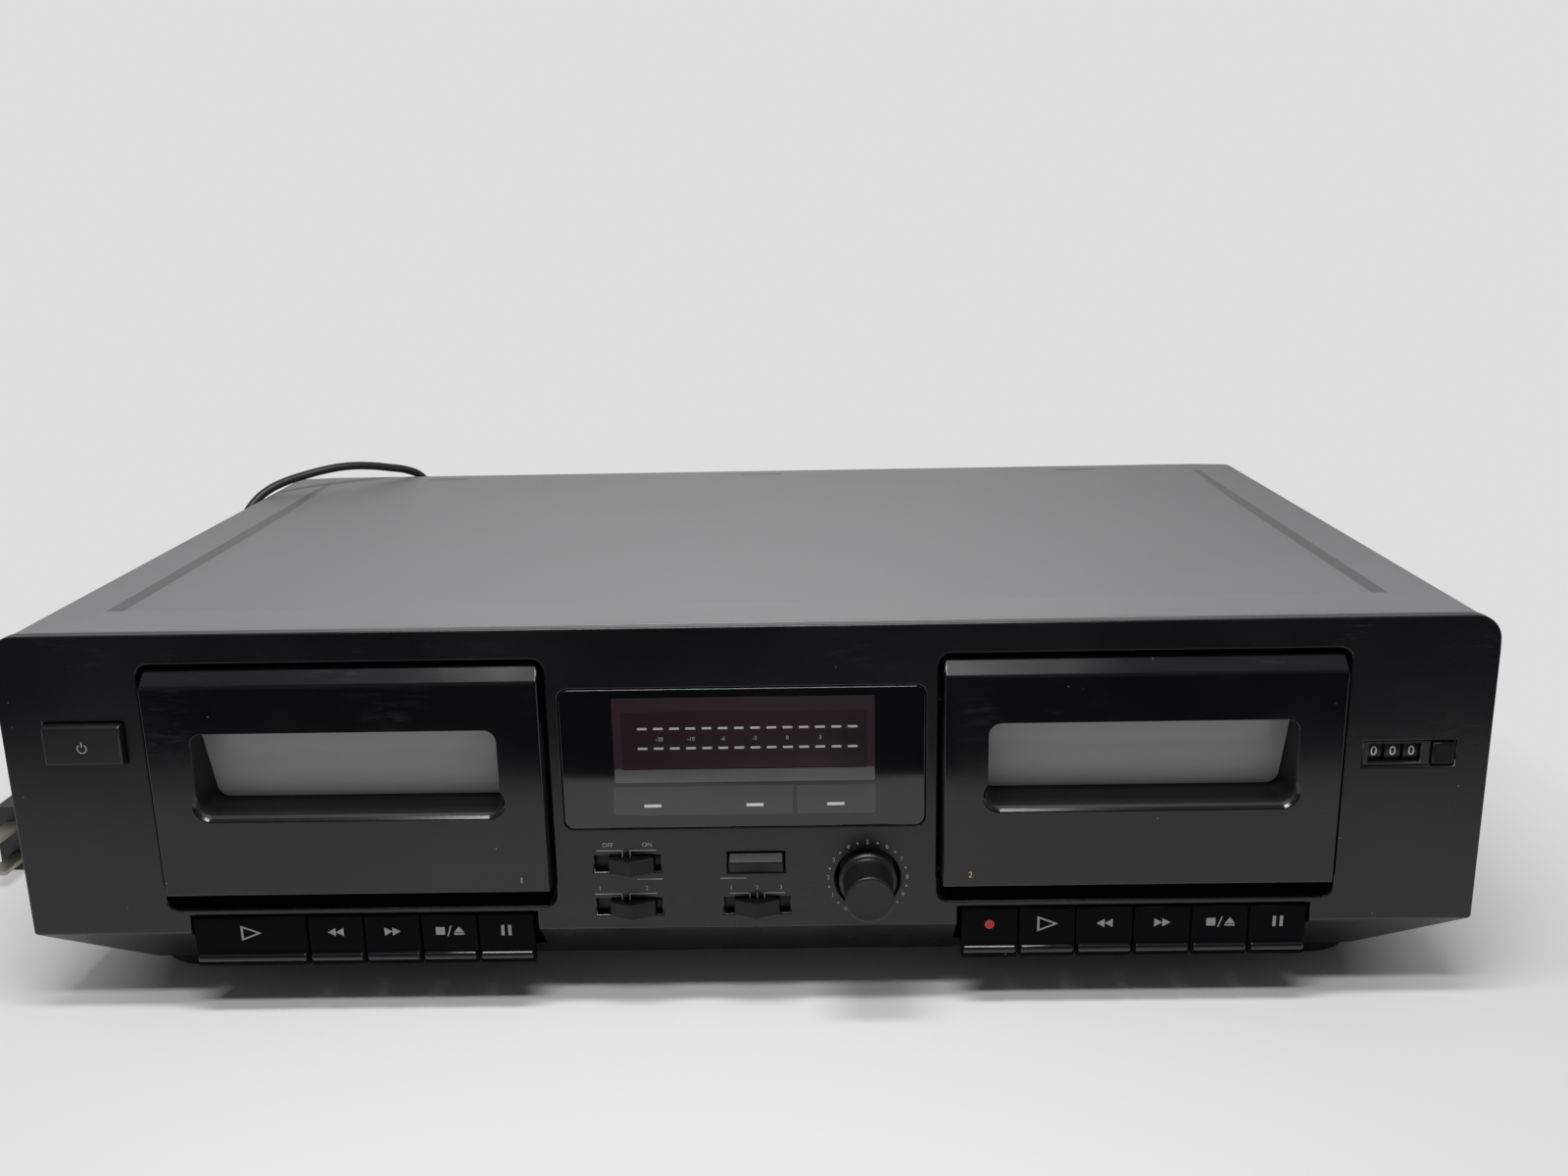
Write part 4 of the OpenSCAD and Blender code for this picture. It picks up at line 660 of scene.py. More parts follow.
def cord_route():
    """Points of the cord in face millimetres: out of the grommet, over the cover's rear corner, down its side,
    round a flat coil that spirals in and out again and climbs a layer in half a turn, then to the plug."""
    bow = radians(45) * np.arange(4)
    rise = np.stack([np.full(4, GLAND[0]), BOW_Y + BOW_R * np.sin(bow), GLAND[1] + BOW_R * (1 - np.cos(bow))], -1)
    over = [(-151, 262, 104.55), (-156, 255.8, 119.25), (-167, 246.5, 124.85), (-182, 234.5, 127.85),
            (-197.5, 224, 126.05), (-210.2, 212.8, 121.75)]
    down = [(-217.6, 204, 112.55), (-218.4, 198, 97.75), (-217.4, 195.5, 82.75), (-217, 195, 56),
            (-218.5, 195, 30), (-225, 195, 14), (-236, 195, 4)]
    turns = np.linspace(0, COIL_TURNS, int(COIL_TURNS * COIL_STEPS))
    layer_turns = (COIL_TURNS - (COIL_LAYERS - 1) / 2) / COIL_LAYERS
    span = layer_turns + 0.5
    layer = np.minimum(turns // span, COIL_LAYERS - 1)
    wound = np.minimum(turns - layer * span, layer_turns)
    climbed = np.maximum(turns - layer * span - layer_turns, 0) * 2
    radius = np.where(layer % 2 == 0, COIL_OUT - wound * COIL_PITCH, COIL_IN + wound * COIL_PITCH)
    flat = round_points(*COIL_MIDDLE, radius, pi / 2 + 2 * pi * turns)
    coil = np.column_stack([flat, FLOOR_LAY + (layer + climbed) * COIL_PITCH])
    tail = [(PLUG_X, 163.641, COIL_TOP), (PLUG_X, 154.5, COIL_TOP - 1.3), (PLUG_X, 145.5, PLUG_Z),
            (PLUG_X, PLUG_END, PLUG_Z)]
    lead = np.concatenate([[(GLAND[0], RELIEF_Y, GLAND[1])], rise, over, down, coil[:1]])
    return np.concatenate([halved(lead), coil[1:], tail])


def halved(knots):
    """Puts a point half way between every two knots: nine times both less the outer neighbours, by sixteen."""
    near = np.concatenate([knots[:1], knots, knots[-1:]])
    half = (9 * (near[1:-2] + near[2:-1]) - near[:-3] - near[3:]) / 16
    route = np.empty((2 * len(knots) - 1, 3))
    route[::2], route[1::2] = knots, half
    return route


class DECK_OT_cord(bpy.types.Operator):
    """Make the mains cord with its grommet, coil, tie and plug"""

    bl_idname = "deck.cord"
    bl_label = "Mains Cord"

    def execute(self, context):
        cord = settings().cord
        rubber = finish("Cord rubber", cord.rubber, 0.42, tone=0.15, grain=2200.0, pit=0.000006, dust=0.006)
        route = placed(cord_route())
        curve = bpy.data.curves.new("mains_cord", "CURVE")
        curve.dimensions = "3D"
        curve.bevel_depth = cord.thickness / 2
        curve.bevel_resolution = 4
        curve.resolution_u = 5
        curve.use_fill_caps = True
        spline = curve.splines.new("BEZIER")
        spline.bezier_points.add(len(route) - 1)
        spline.bezier_points.foreach_set("co", route.ravel())
        for point in spline.bezier_points:
            point.handle_left_type = point.handle_right_type = "AUTO"
        made = bpy.data.objects.new("mains_cord", curve)
        context.scene.collection.objects.link(made)
        curve.materials.append(rubber)
        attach(made, "deck")
        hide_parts("cord_lead", "cord_coil", "cord_tail")
        gland = softened("cord_gland", GLAND_EDGE, rubber)
        plug = softened("mains_plug", PLUG_EDGE, plug_finish(cord), where=lambda at: at[:, 1] > PLUG_BODY)
        paper = finish("Tie paper", cord.tie, 0.6, grain=2500.0)
        tie = piece("cord_tie", tie_mesh(), paper, "deck")
        return {"FINISHED"}


def tie_mesh():
    """Band round the coil's bundle: a rounded square across the bundle, carried along the turns' direction."""
    inner, outer, high = COIL_IN - TIE_ROOM, COIL_OUT + TIE_ROOM, COIL_TOP + TIE_ROOM
    loop = round_outline((inner + outer) / 2, high / 2 + TIE_PLAY, outer - inner, high - 2 * TIE_PLAY,
                         TIE_CORNER, 8)
    across = np.array([-TIE_HALF, -TIE_HALF, TIE_HALF, TIE_HALF])
    lift = np.array([0.0, TIE_THICK, TIE_THICK, 0.0])
    out = loop - loop.mean(0)
    out /= np.linalg.norm(out, axis=1)[:, None]
    wall = loop[:, None] + out[:, None] * lift[None, :, None]
    points = np.stack([COIL_MIDDLE[0] + wall[..., 0], np.broadcast_to(COIL_MIDDLE[1] + across, wall.shape[:2]),
                       np.maximum(wall[..., 1], TIE_LOW)], -1)
    return grid_mesh("cord_tie", placed(points), wrap_rows=True, wrap_columns=True)


def plug_finish(cord):
    """Rubber plug whose blades, which stand out in front of its body, are plated metal."""
    material = finish("Plug rubber and blades", cord.rubber, 0.42, grain=2200.0, pit=0.000006)
    tree = material.node_tree
    metal = maths(tree, "LESS_THAN", coordinate(tree, "Y"), FACE_Y + BLADE_END * MM)
    recoloured(material, metal, cord.blade)
    tree.links.new(metal, tree.nodes["Principled BSDF"].inputs["Metallic"])
    return material


class DECK_OT_housing(bpy.types.Operator):
    """Dress the front panel, cover, rear panel, base, feet and screws"""

    bl_idname = "deck.housing"
    bl_label = "Housing"

    def execute(self, context):
        house = settings().housing
        face = finish("Front plastic", house.plastic, 0.27, tone=0.1, grain=1700.0, pit=0.000008, dust=0.006,
                      scuff=0.2)
        paint, zinc = cover_finish(house), zinc_finish(house)
        softened("front_panel", house.face_edge, face, where=nearer(SHELL_DEPTH))
        softened("top_cover", house.sheet_edge, paint)
        softened("rear_panel", FINE_EDGE, paint)
        softened("feet", house.foot_edge, finish("Foot rubber", house.foot, 0.6))
        softened("screws", FINE_EDGE, zinc, segments=2)
        softened("chassis_pan", SMALL_EDGE, zinc, segments=2)
        return {"FINISHED"}


# The cover's tray, the width of its creases, and how strong and dark the painted shade in them is
TRAY_HALF, TRAY_FRONT, TRAY_BACK, TRAY_LOW, CREASE = 192.6, 26.0, 235.0, 117.0, 2.6
FRONT_PAINTED_SHADE, CREASE_PAINTED_SHADE = 0.4, 0.62


def cover_finish(house):
    """Fine-grained paint with painted shade along the creases of the tray, more of it at the sides than in front.
    """
    material = finish("Cover paint", house.paint, 0.42, 0.03, tone=0.07, grain=1900.0, pit=0.00005, dust=0.004)
    tree = material.node_tree
    aside = maths(tree, "ABSOLUTE", coordinate(tree, "X"))
    along = maths(tree, "SUBTRACT", coordinate(tree, "Y"), FACE_Y)
    on_top = maths(tree, "GREATER_THAN", coordinate(tree, "Z"), TRAY_LOW * MM)
    length = between(tree, along, TRAY_FRONT, TRAY_BACK)
    sides = maths(tree, "MULTIPLY", between(tree, aside, TRAY_HALF - CREASE, TRAY_HALF), length)
    front = maths(tree, "MULTIPLY", between(tree, along, TRAY_FRONT, TRAY_FRONT + CREASE / 2),
                  between(tree, aside, -1.0, TRAY_HALF))
    # Painted shade: the paint darkened in the tray's creases, where shade falls
    painted_shade = maths(tree, "MAXIMUM", sides, maths(tree, "MULTIPLY", front, FRONT_PAINTED_SHADE))
    recoloured(material, maths(tree, "MULTIPLY", painted_shade, on_top), shaded(house.paint, CREASE_PAINTED_SHADE))
    return material


class DECK_OT_doors(bpy.types.Operator):
    """Dress the cassette doors, their panes and the holders behind them"""

    bl_idname = "deck.doors"
    bl_label = "Doors"

    def execute(self, context):
        door = settings().doors
        shell, pane = door_finish(door), pane_finish(door)
        holder = finish("Holder plastic", door.holder, 0.5, tone=0.15)
        for side in "ab":
            heart = middle("door_" + side)[0]
            softened("door_" + side, door.edge, shell, where=lambda at: door_edges(at, heart))
            softened("door_window_" + side, SMALL_EDGE, pane)
            softened("cassette_holder_" + side, SMALL_EDGE, holder, segments=2)
        return {"FINISHED"}


# A door's rounded depth, the rim of its pocket, the pocket's painted shade and roughness, and how the pane's
# painted light grows towards its lower edge
DOOR_FRONT = 8.0
RIM_LOW, RIM_HALF, RIM_SHARE = 60.0, 46.5, 0.3
POCKET_Y, POCKET_TOP = -2.2, 92.0
POCKET_PAINTED_SHADE, POCKET_DULL = 0.5, 0.6
PANE_LIGHT_CURVE = 2.2


def door_edges(at, heart):
    """Share of the radius at each edge of a door: little along the rim of the pocket, none behind the front."""
    rim = (at[:, 2] > RIM_LOW) & (at[:, 2] < POCKET_TOP) & (abs(at[:, 0] - heart) < RIM_HALF)
    return np.where(rim, RIM_SHARE, 1.0) * (at[:, 1] < DOOR_FRONT)


def pane_finish(door):
    """Tinted pane with painted light: paler towards its lower edge, ever faster."""
    material = finish("Tinted pane", door.pane, 0.16, tone=0.04, grain=300.0, pit=0.000002, dust=0.004, gloss=0.3)
    low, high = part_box("door_window_a")
    tree = material.node_tree
    # Painted light: the pane made paler towards its lower edge, faster near the bottom
    lower = maths(tree, "POWER", ramp(tree, coordinate(tree, "Z"), high.z, low.z), PANE_LIGHT_CURVE)
    recoloured(material, lower, door.pane_low)
    return material


def door_finish(door):
    """Semi-gloss plastic with painted shade inside the pane's pocket, where it is also dull."""
    material = finish("Door plastic", door.plastic, 0.15, tone=0.1, grain=1900.0, pit=0.000005, dust=0.006,
                      scuff=0.25)
    tree = material.node_tree
    rough = tree.nodes["Principled BSDF"].inputs["Roughness"]
    behind = maths(tree, "GREATER_THAN", coordinate(tree, "Y"), FACE_Y + POCKET_Y * MM)
    below = maths(tree, "LESS_THAN", coordinate(tree, "Z"), POCKET_TOP * MM)
    inside = maths(tree, "MULTIPLY", behind, below)
    # Painted shade: the plastic darkened inside the pocket, where shade falls
    recoloured(material, inside, shaded(door.plastic, POCKET_PAINTED_SHADE))
    dull = maths(tree, "MULTIPLY", inside, POCKET_DULL)
    tree.links.new(maths(tree, "MAXIMUM", rough.links[0].from_socket, dull), rough)
    return material


# The keys' printed face, how far their ridge stands out of it, and the signs' sizes
KEY_FACE, RIDGE = -0.8, 0.06
SIGN_Z = 26.6
PLAY_BACK, PLAY_TIP, PLAY_HALF, PLAY_HOLLOW = 2.9, 3.3, 2.5, 0.68
WIND_LONG, WIND_HALF = 2.4, 1.35
STOP_W, STOP_H = 2.7, 2.5
SLASH_FAR, SLASH_NEAR, SLASH_HALF = 0.75, 0.35, 1.7
EJECT_AT, EJECT_W, EJECT_LOW, EJECT_TOP = 2.9, 3.0, -0.5, 1.4
EJECT_BAR_Z, EJECT_BAR_H = -1.05, 0.55
PAUSE_AT, PAUSE_W, PAUSE_H = 1.05, 0.95, 3.4
RECORD_R = 1.45


def sign_play(x):
    """Outlined triangle: three bars along its sides, each as wide as the line."""
    corners = np.array([(x - PLAY_BACK, SIGN_Z - PLAY_HALF), (x + PLAY_TIP, SIGN_Z),
                        (x - PLAY_BACK, SIGN_Z + PLAY_HALF)])
    heart = corners.mean(0)
    inner = heart + (corners - heart) * PLAY_HOLLOW
    return [np.array([corners[i], corners[i - 2], inner[i - 2], inner[i]]) for i in range(3)]


def sign_wind(x, way):
    """Two filled triangles in a row, pointing right for way 1 and left for way -1."""
    return [np.array([(x + way * start, SIGN_Z - WIND_HALF), (x + way * (start + WIND_LONG), SIGN_Z),
                      (x + way * start, SIGN_Z + WIND_HALF)])[::way] for start in (-WIND_LONG, 0.0)]


def sign_stop(x):
    """Filled square, slash, and the eject triangle over its bar."""
    low, high = SIGN_Z - SLASH_HALF, SIGN_Z + SLASH_HALF
    slash = [(x - SLASH_FAR, low), (x - SLASH_NEAR, low), (x + SLASH_FAR, high), (x + SLASH_NEAR, high)]
    at = x + EJECT_AT
    foot = SIGN_Z + EJECT_LOW
    eject = [(at - EJECT_W / 2, foot), (at + EJECT_W / 2, foot), (at, SIGN_Z + EJECT_TOP)]
    return [box_outline(x - STOP_W, SIGN_Z, STOP_W, STOP_H), slash, eject,
            box_outline(at, SIGN_Z + EJECT_BAR_Z, EJECT_W, EJECT_BAR_H)]


def sign_pause(x):
    """Two upright bars."""
    return [box_outline(x + at, SIGN_Z, PAUSE_W, PAUSE_H) for at in (-PAUSE_AT, PAUSE_AT)]


SIGNS = {
    "play": sign_play,
    "rewind": lambda x: sign_wind(x, -1),
    "forward": lambda x: sign_wind(x, 1),
    "stop": sign_stop,
    "pause": sign_pause,
    "record": lambda x: [ring_outline(x, SIGN_Z, RECORD_R)],
}


def key_finish(control):
    """Dull key plastic with a polished ridge along its lower edge."""
    material = finish("Key plastic", control.key, 0.34, tone=0.12, grain=1700.0, pit=0.000007, dust=0.006,
                      gloss=0.03)
    tree = material.node_tree
    polished = maths(tree, "LESS_THAN", coordinate(tree, "Y"), FACE_Y + (KEY_FACE - RIDGE) * MM)
    tree.links.new(polished, tree.nodes["Principled BSDF"].inputs["Coat Weight"])
    return material


class DECK_OT_keys(bpy.types.Operator):
    """Dress the piano keys and print their signs"""

    bl_idname = "deck.keys"
    bl_label = "Keys"

    def execute(self, context):
        control, marks = settings().controls, settings().marks
        plastic = key_finish(control)
        print_ink, red = ink("Sign ink", marks.ink), ink("Record ink", marks.red)
        lift = marks.thickness / MM
        for name in [n for n in NODES if "_key_" in n]:
            softened(name, control.key_edge, plastic, where=nearer(SHELL_DEPTH))
            kind = name.split("_")[0]
            sign = [plate(outline, KEY_FACE - lift, KEY_FACE + lift) for outline in SIGNS[kind](middle(name)[0])]
            printed(name + "_sign", sign, red if kind == "record" else print_ink, name)
        return {"FINISHED"}


# The knob's shaft, skirt, lip and dished front
SHAFT_R, SKIRT_BACK, SKIRT_FRONT, BARREL_STEP = 3.0, -0.6, -1.2, 0.25
LIP_R, DISH_RIM, DISH_EDGE, DISH_HALF, DISH_DEEP = 0.7, 1.4, 0.12, 0.2, 0.22


class DECK_OT_controls(bpy.types.Operator):
    """Dress the buttons and switches and turn the level knob"""

    bl_idname = "deck.controls"
    bl_label = "Controls"

    def execute(self, context):
        control = settings().controls
        moulded = {"tone": 0.1, "grain": 1800.0, "pit": 0.000006, "dust": 0.004}
        plastic = finish("Button plastic", control.button, 0.3, **moulded)
        switch = finish("Switch plastic", control.switch, 0.36, gloss=0.25, **moulded)
        dial = finish("Knob plastic", control.button, 0.33, gloss=0.42, **moulded)
        softened("power_button", control.button_edge, plastic, where=nearer(BUTTON_DEPTH))
        for name in ("dubbing_button", "reset_button"):
            softened(name, control.button_edge, switch, where=nearer(BUTTON_DEPTH))
        for name in ("noise_switch_knob", "tape_type_knob_a", "tape_type_knob_b"):
            softened(name, FINE_EDGE, switch, where=nearer(BUTTON_DEPTH))
        knob = piece("level_knob_dressed", knob_mesh(control.knob_radius / MM), dial, "level_knob", ["level_knob"])
        shell = knob.modifiers.new("Rounded edges", "BEVEL")
        shell.limit_method = "ANGLE"
        shell.angle_limit = radians(40)
        shell.width = SMALL_EDGE
        shell.segments = 2
        return {"FINISHED"}


def knob_mesh(front_r):
    """Level knob: shaft, skirt whose front is a quarter circle, straight barrel, and a dished front."""
    x, _, z = middle("level_knob")
    low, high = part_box("level_knob")
    rim_r = (high.x - low.x) / 2 / MM
    out = front_of("level_knob")
    back = (high.y - FACE_Y) / MM
    turn = np.linspace(0, pi / 2, 7)
    barrel_r = front_r + BARREL_STEP
    bend = rim_r - front_r - BARREL_STEP
    skirt = np.stack([barrel_r + bend * np.cos(turn), SKIRT_FRONT - bend * np.sin(turn)], -1)
    lip = np.stack([front_r - LIP_R + LIP_R * np.cos(turn), out + LIP_R - LIP_R * np.sin(turn)], -1)
    dish = [(front_r - DISH_RIM, out + DISH_EDGE), (front_r * 0.5, out + DISH_HALF), (0.0, out + DISH_DEEP)]
    shaft = [(0.0, back), (SHAFT_R, back), (SHAFT_R, SKIRT_BACK), (rim_r, SKIRT_BACK)]
    return turned("level_knob_dressed", np.concatenate([shaft, skirt, lip, dish]), (x, z), 96)


# The dial's ring of numbers and dots, and the height of the face's letters
DIAL_RING, DIAL_STEP, DIAL_COUNT, DOT_R = 11.7, 29.2, 11, 0.3
LETTER = 1.9
# Printed lines over the slide switches: thickness, length of the feet, and how high the words stand over them
LINE, FOOT_DROP, WORD_RISE = 0.28, 2.0, 1.75
# Each bracket: middle, height, feet, reach to either side, and words with their places
BRACKETS = (
    (-35.2, 51.6, (-1.15, 1.15), 8.9, (("OFF", -5.4), ("ON", 6.2))),
    (-35.9, 37.65, (-1.15, 1.15), 9.2, (("1", -7.6), ("2", 6.3))),
    (3.2, 37.4, (-2.2, 0.0, 2.2), 8.2, (("1", -7.7), ("2", 0.0), ("3", 7.1))),
)
DASHES, DASH_Z, DASH_W = (-28.6, -3.75), 42.3, 7.7
# The doors' numbers: how far off the door's middle, how high, and their size
NUMBER_OFF, NUMBER_Z, NUMBER_SIZE = 48.9, 43.8, 2.6
# The power sign: radii of its arc, how low the arc's middle lies, the bar, and the arc's ends and steps
POWER_IN, POWER_OUT, POWER_DROP = 1.15, 1.5, 0.9
POWER_BAR = (0.35, 0.36, 1.7)
POWER_ARC, POWER_STEPS = (radians(125), radians(415)), 24


class DECK_OT_face_marks(bpy.types.Operator):
    """Print the dial's numbers and dots, the switches' brackets and the doors' numbers"""

    bl_idname = "deck.face_marks"
    bl_label = "Printed Marks"

    def execute(self, context):
        marks = settings().marks
        lift = marks.thickness / MM
        depth = (-lift, lift)
        print_ink, gold = ink("Face ink", marks.ink), ink("Gold ink", marks.gold)
        x, _, z = middle("level_knob")
        angle = radians(90) - radians(DIAL_STEP) * (np.arange(DIAL_COUNT) - DIAL_COUNT // 2)
        spots = round_points(x, z, DIAL_RING, angle)
        meshes = [lettering(str(number), *spot, LETTER, *depth) for number, spot in enumerate(spots)]
        dots = round_points(x, z, DIAL_RING, (angle[1:] + angle[:-1]) / 2)
        meshes += [plate(ring_outline(*dot, DOT_R, 12), *depth) for dot in dots]
        for switch in BRACKETS:
            meshes += bracket(*switch, depth)
        meshes += [plate(box_outline(at, DASH_Z, DASH_W, LINE), *depth) for at in DASHES]
        printed("face_print", meshes, print_ink, "deck")
        for side, text, way in (("a", "1", 1), ("b", "2", -1)):
            name, front = "door_" + side, front_of("door_" + side)
            at = middle(name)[0] + way * NUMBER_OFF
            number = lettering(text, at, NUMBER_Z, NUMBER_SIZE, front - lift, front + lift)
            printed("door_number_" + side, [number], gold, name)
        front = front_of("power_button")
        sign = [plate(outline, front - lift, front + lift) for outline in power_outlines()]
        printed("power_sign", sign, print_ink, "power_button")
        return {"FINISHED"}


def bracket(middle_x, top, feet, reach, words, depth):
    """Printed bracket over a slide switch: a foot at each position, a line out from the outer ones, and words."""
    meshes = [plate(box_outline(middle_x + foot, top - FOOT_DROP / 2, LINE, FOOT_DROP + LINE), *depth)
              for foot in feet]
    for foot, end in ((feet[0], -reach), (feet[-1], reach)):
        meshes.append(plate(box_outline(middle_x + (foot + end) / 2, top, abs(end - foot), LINE), *depth))
    return meshes + [lettering(word, middle_x + at, top + WORD_RISE, LETTER, *depth) for word, at in words]


def power_outlines():
    """Power sign: an open ring as short pieces between two arcs, and an upright bar in the gap."""
    x, _, z = middle("power_button")
    arc = np.linspace(*POWER_ARC, POWER_STEPS + 1)
    inner = round_points(x, z - POWER_DROP, POWER_IN, arc)
    outer = round_points(x, z - POWER_DROP, POWER_OUT, arc)
    rise, width, height = POWER_BAR
    ring = [[outer[i], outer[i + 1], inner[i + 1], inner[i]] for i in range(POWER_STEPS)]
    return [*ring, box_outline(x, z + rise, width, height)]


# The meter: its bars, lights and scale, their heights measured up from the chin's top
METER_SPAN, METER_ROWS, METER_BARS, BAR_SIZE = (-28.9, 31.8), (63.15, 57.1), 14, (2.8, 0.66)
LIGHTS, LIGHT_Z, LIGHT_SIZE = (-26.7, 3.2, 26.8), 39.25, (5.0, 0.9)
SCALE = (("-20", -24.0), ("-10", -14.8), ("-6", -5.6), ("-3", 3.6), ("0", 13.0), ("3", 22.5))
SCALE_Z, SCALE_SIZE = 59.9, 1.7
# Refraction of the window and its films, how far print stands out, and how far films reach into the window
GLASS = 1.6
METER_PRINT, FILM_SUNK = 0.035, 0.02
# Each film: piece, finish, its colour, roughness, tone, how far it stands out, and its rounded plates
FILMS = (
    ("display_surround", "Display surround", "surround", 0.09, 0.15, 0.008, [(0.4, 59.55, 75.6, 26.0, 0.7)]),
    ("display_rail", "Display rail", "rail", 0.09, 0.1, 0.016, [(0.4, 48.65, 75.6, 4.2, 0.7)]),
    ("display_film", "Display film", "glow", 0.09, 0.25, 0.016, [(0.5, 59.4, 71.0, 17.7, 0.6)]),
    ("indicator_plates", "Indicator plate", "plate", 0.1, 0.1, 0.016,
     [(-11.9, 40.8, 52.2, 9.0, 0.5), (27.0, 40.8, 22.8, 9.0, 0.5)]),
)


class DECK_OT_meter(bpy.types.Operator):
    """Dress the meter window and lay out its display, scale and indicator lights"""

    bl_idname = "deck.meter"
    bl_label = "Level Meter"

    def execute(self, context):
        meter, marks = settings().meter, settings().marks
        smoke = finish("Smoked window", meter.smoke, 0.07, spread=0.02, tone=0.1, grain=250.0, pit=0.000002,
                       dust=0.006, ior=GLASS)
        softened("meter_window", SMALL_EDGE, smoke, where=nearer(WINDOW_DEPTH))
        front, up = front_of("meter_window"), CHIN_TOP
        for name, label, key, roughness, tone, out, plates in FILMS:
            film = finish(label, getattr(meter, key), roughness, tone=tone, grain=400.0, pit=0.000002, ior=GLASS)
            meshes = [plate(round_outline(x, up + z, w, h, r), front - out, front + FILM_SUNK)
                      for x, z, w, h, r in plates]
            printed(name, meshes, film, "deck")
        print_at = (front - METER_PRINT, front)
        bars = [plate(box_outline(x, up + z, *BAR_SIZE), *print_at)
                for z in METER_ROWS for x in np.linspace(*METER_SPAN, METER_BARS)]
        lights = [plate(box_outline(x, up + LIGHT_Z, *LIGHT_SIZE), *print_at) for x in LIGHTS]
        scale = [lettering(text, x, up + SCALE_Z, SCALE_SIZE, *print_at) for text, x in SCALE]
        printed("meter_bars", bars, ink("Bar ink", marks.bars), "deck")
        printed("meter_lights", lights, ink("Light ink", marks.bright), "deck")
        printed("meter_scale", scale, ink("Scale ink", marks.ink), "deck")
        return {"FINISHED"}


# The counter's digits: height, how far out and in the letters reach, and the gap to the wheel in metres
DIGIT_SIZE, DIGIT_DEPTH, DIGIT_GAP = 4.0, (-0.03, 0.06), 0.00004


class DECK_OT_counter(bpy.types.Operator):
    """Dress the tape counter, its number wheels and its frame"""

    bl_idname = "deck.counter"
    bl_label = "Tape Counter"

    def execute(self, context):
        meter, marks = settings().meter, settings().marks
        wheel = finish("Wheel plastic", meter.wheel, 0.4, tone=0.1)
        white = ink("Wheel ink", marks.bright)
        for place in ("hundreds", "tens", "units"):
            name = "counter_wheel_" + place
            softened(name, FINE_EDGE, wheel, segments=2)
            printed(name + "_digits", digit_meshes(name), white, name)
        bezel = finish("Counter bezel", meter.bezel, 0.35, tone=0.1)
        softened("counter_frame", FINE_EDGE, bezel, segments=2, where=nearer(BEZEL_DEPTH))
        return {"FINISHED"}


def digit_meshes(name):
    """Digits round a number wheel: flat letters bent on to its rim, height along the digit becoming angle."""
    low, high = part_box(name)
    x, y, z = (low + high) / 2
    radius = (high.z - low.z) / 2 + DIGIT_GAP
    meshes = []
    for digit in range(10):
        mesh = lettering(str(digit), 0.0, 0.0, DIGIT_SIZE, *DIGIT_DEPTH)
        flat = np.zeros(len(mesh.vertices) * 3)
        mesh.vertices.foreach_get("co", flat)
        flat = flat.reshape(-1, 3) - (0.0, FACE_Y, 0.0)
        rim = round_points(y, z, radius - flat[:, 1], pi - flat[:, 2] / radius - 2 * pi * digit / 10)
        mesh.vertices.foreach_set("co", np.column_stack([x + flat[:, 0], rim]).ravel())
        meshes.append(mesh)
    return meshes


class DECK_OT_mechanism(bpy.types.Operator):
    """Give the tape drive and the electronics their finishes"""

    bl_idname = "deck.mechanism"
    bl_label = "Mechanism"

    def execute(self, context):
        drive = settings().mechanism
        brass = finish("Turned brass", drive.brass, 0.3, tone=0.12, grain=1200.0, pit=0.000003, metallic=1.0,
                       lines=True)
        iron = finish("Varnished iron", drive.iron, 0.45, tone=0.25, grain=500.0, lines=True)
        painted(["transport_frames", "key_shafts", "head_plate_a", "head_plate_b", "drive_motors"],
                zinc_finish(settings().housing))
        painted([n for n in NODES if "_reel_" in n], finish("Reel plastic", drive.reel, 0.45, tone=0.06))
        painted(["flywheel_a", "flywheel_b", "motor_pulley_a", "motor_pulley_b"], brass)
        painted(["drive_belts", "pinch_roller_a", "pinch_roller_b"], finish("Belt rubber", drive.belt, 0.6))
        painted(["switch_bodies"], finish("Switch body", drive.switch, 0.5))
        painted(["circuit_boards"], finish("Board laminate", drive.board, 0.4, grain=900.0))
        painted(["power_transformer"], iron)
        return {"FINISHED"}


# The jacks' spacing, and the inserts' radii, depth and how far they stand out
JACK_STEP = 7.0
INSERT_IN, INSERT_OUT, INSERT_DEEP, INSERT_PROUD = 1.8, 3.3, 2.0, 0.05


class DECK_OT_rear(bpy.types.Operator):
    """Dress the phono jacks and ring them in channel colours"""

    bl_idname = "deck.rear"
    bl_label = "Rear Jacks"

    def execute(self, context):
        drive = settings().mechanism
        metal = finish("Jack plate", drive.jack, 0.22, tone=0.08, grain=900.0, pit=0.000002, metallic=1.0)
        softened("phono_jacks", FINE_EDGE, metal, segments=2)
        end = (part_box("phono_jacks")[1].y - FACE_Y) / MM
        x, _, z = middle("phono_jacks")
        low, high = end - INSERT_DEEP, end + INSERT_PROUD
        profile = [(INSERT_IN, low), (INSERT_IN, high), (INSERT_OUT, high), (INSERT_OUT, low), (INSERT_IN, low)]
        for column, way in (("left", -1), ("right", 1)):
            rings = [turned("ring", profile, (x + way * JACK_STEP, z + row * JACK_STEP), 40) for row in (-1, 1)]
            tint = finish("Jack insert " + column, getattr(drive, column), 0.4)
            printed("jack_inserts_" + column, rings, tint, "deck")
        return {"FINISHED"}


# The stage in metres: floor, dark card past the table's edge, where the floor fades out, and its finish
FLOOR_R, CARD_R, CARD_LIFT = 6.0, 3.0, 0.0004
FADE, FADE_WIDE = (0.27, 0.46), 1.35
FLOOR_ROUGH, FLOOR_CLOUD = 0.7, 0.01
DISC_RINGS, DISC_STEPS = (0.0, 0.25, 0.5, 1.0), 48
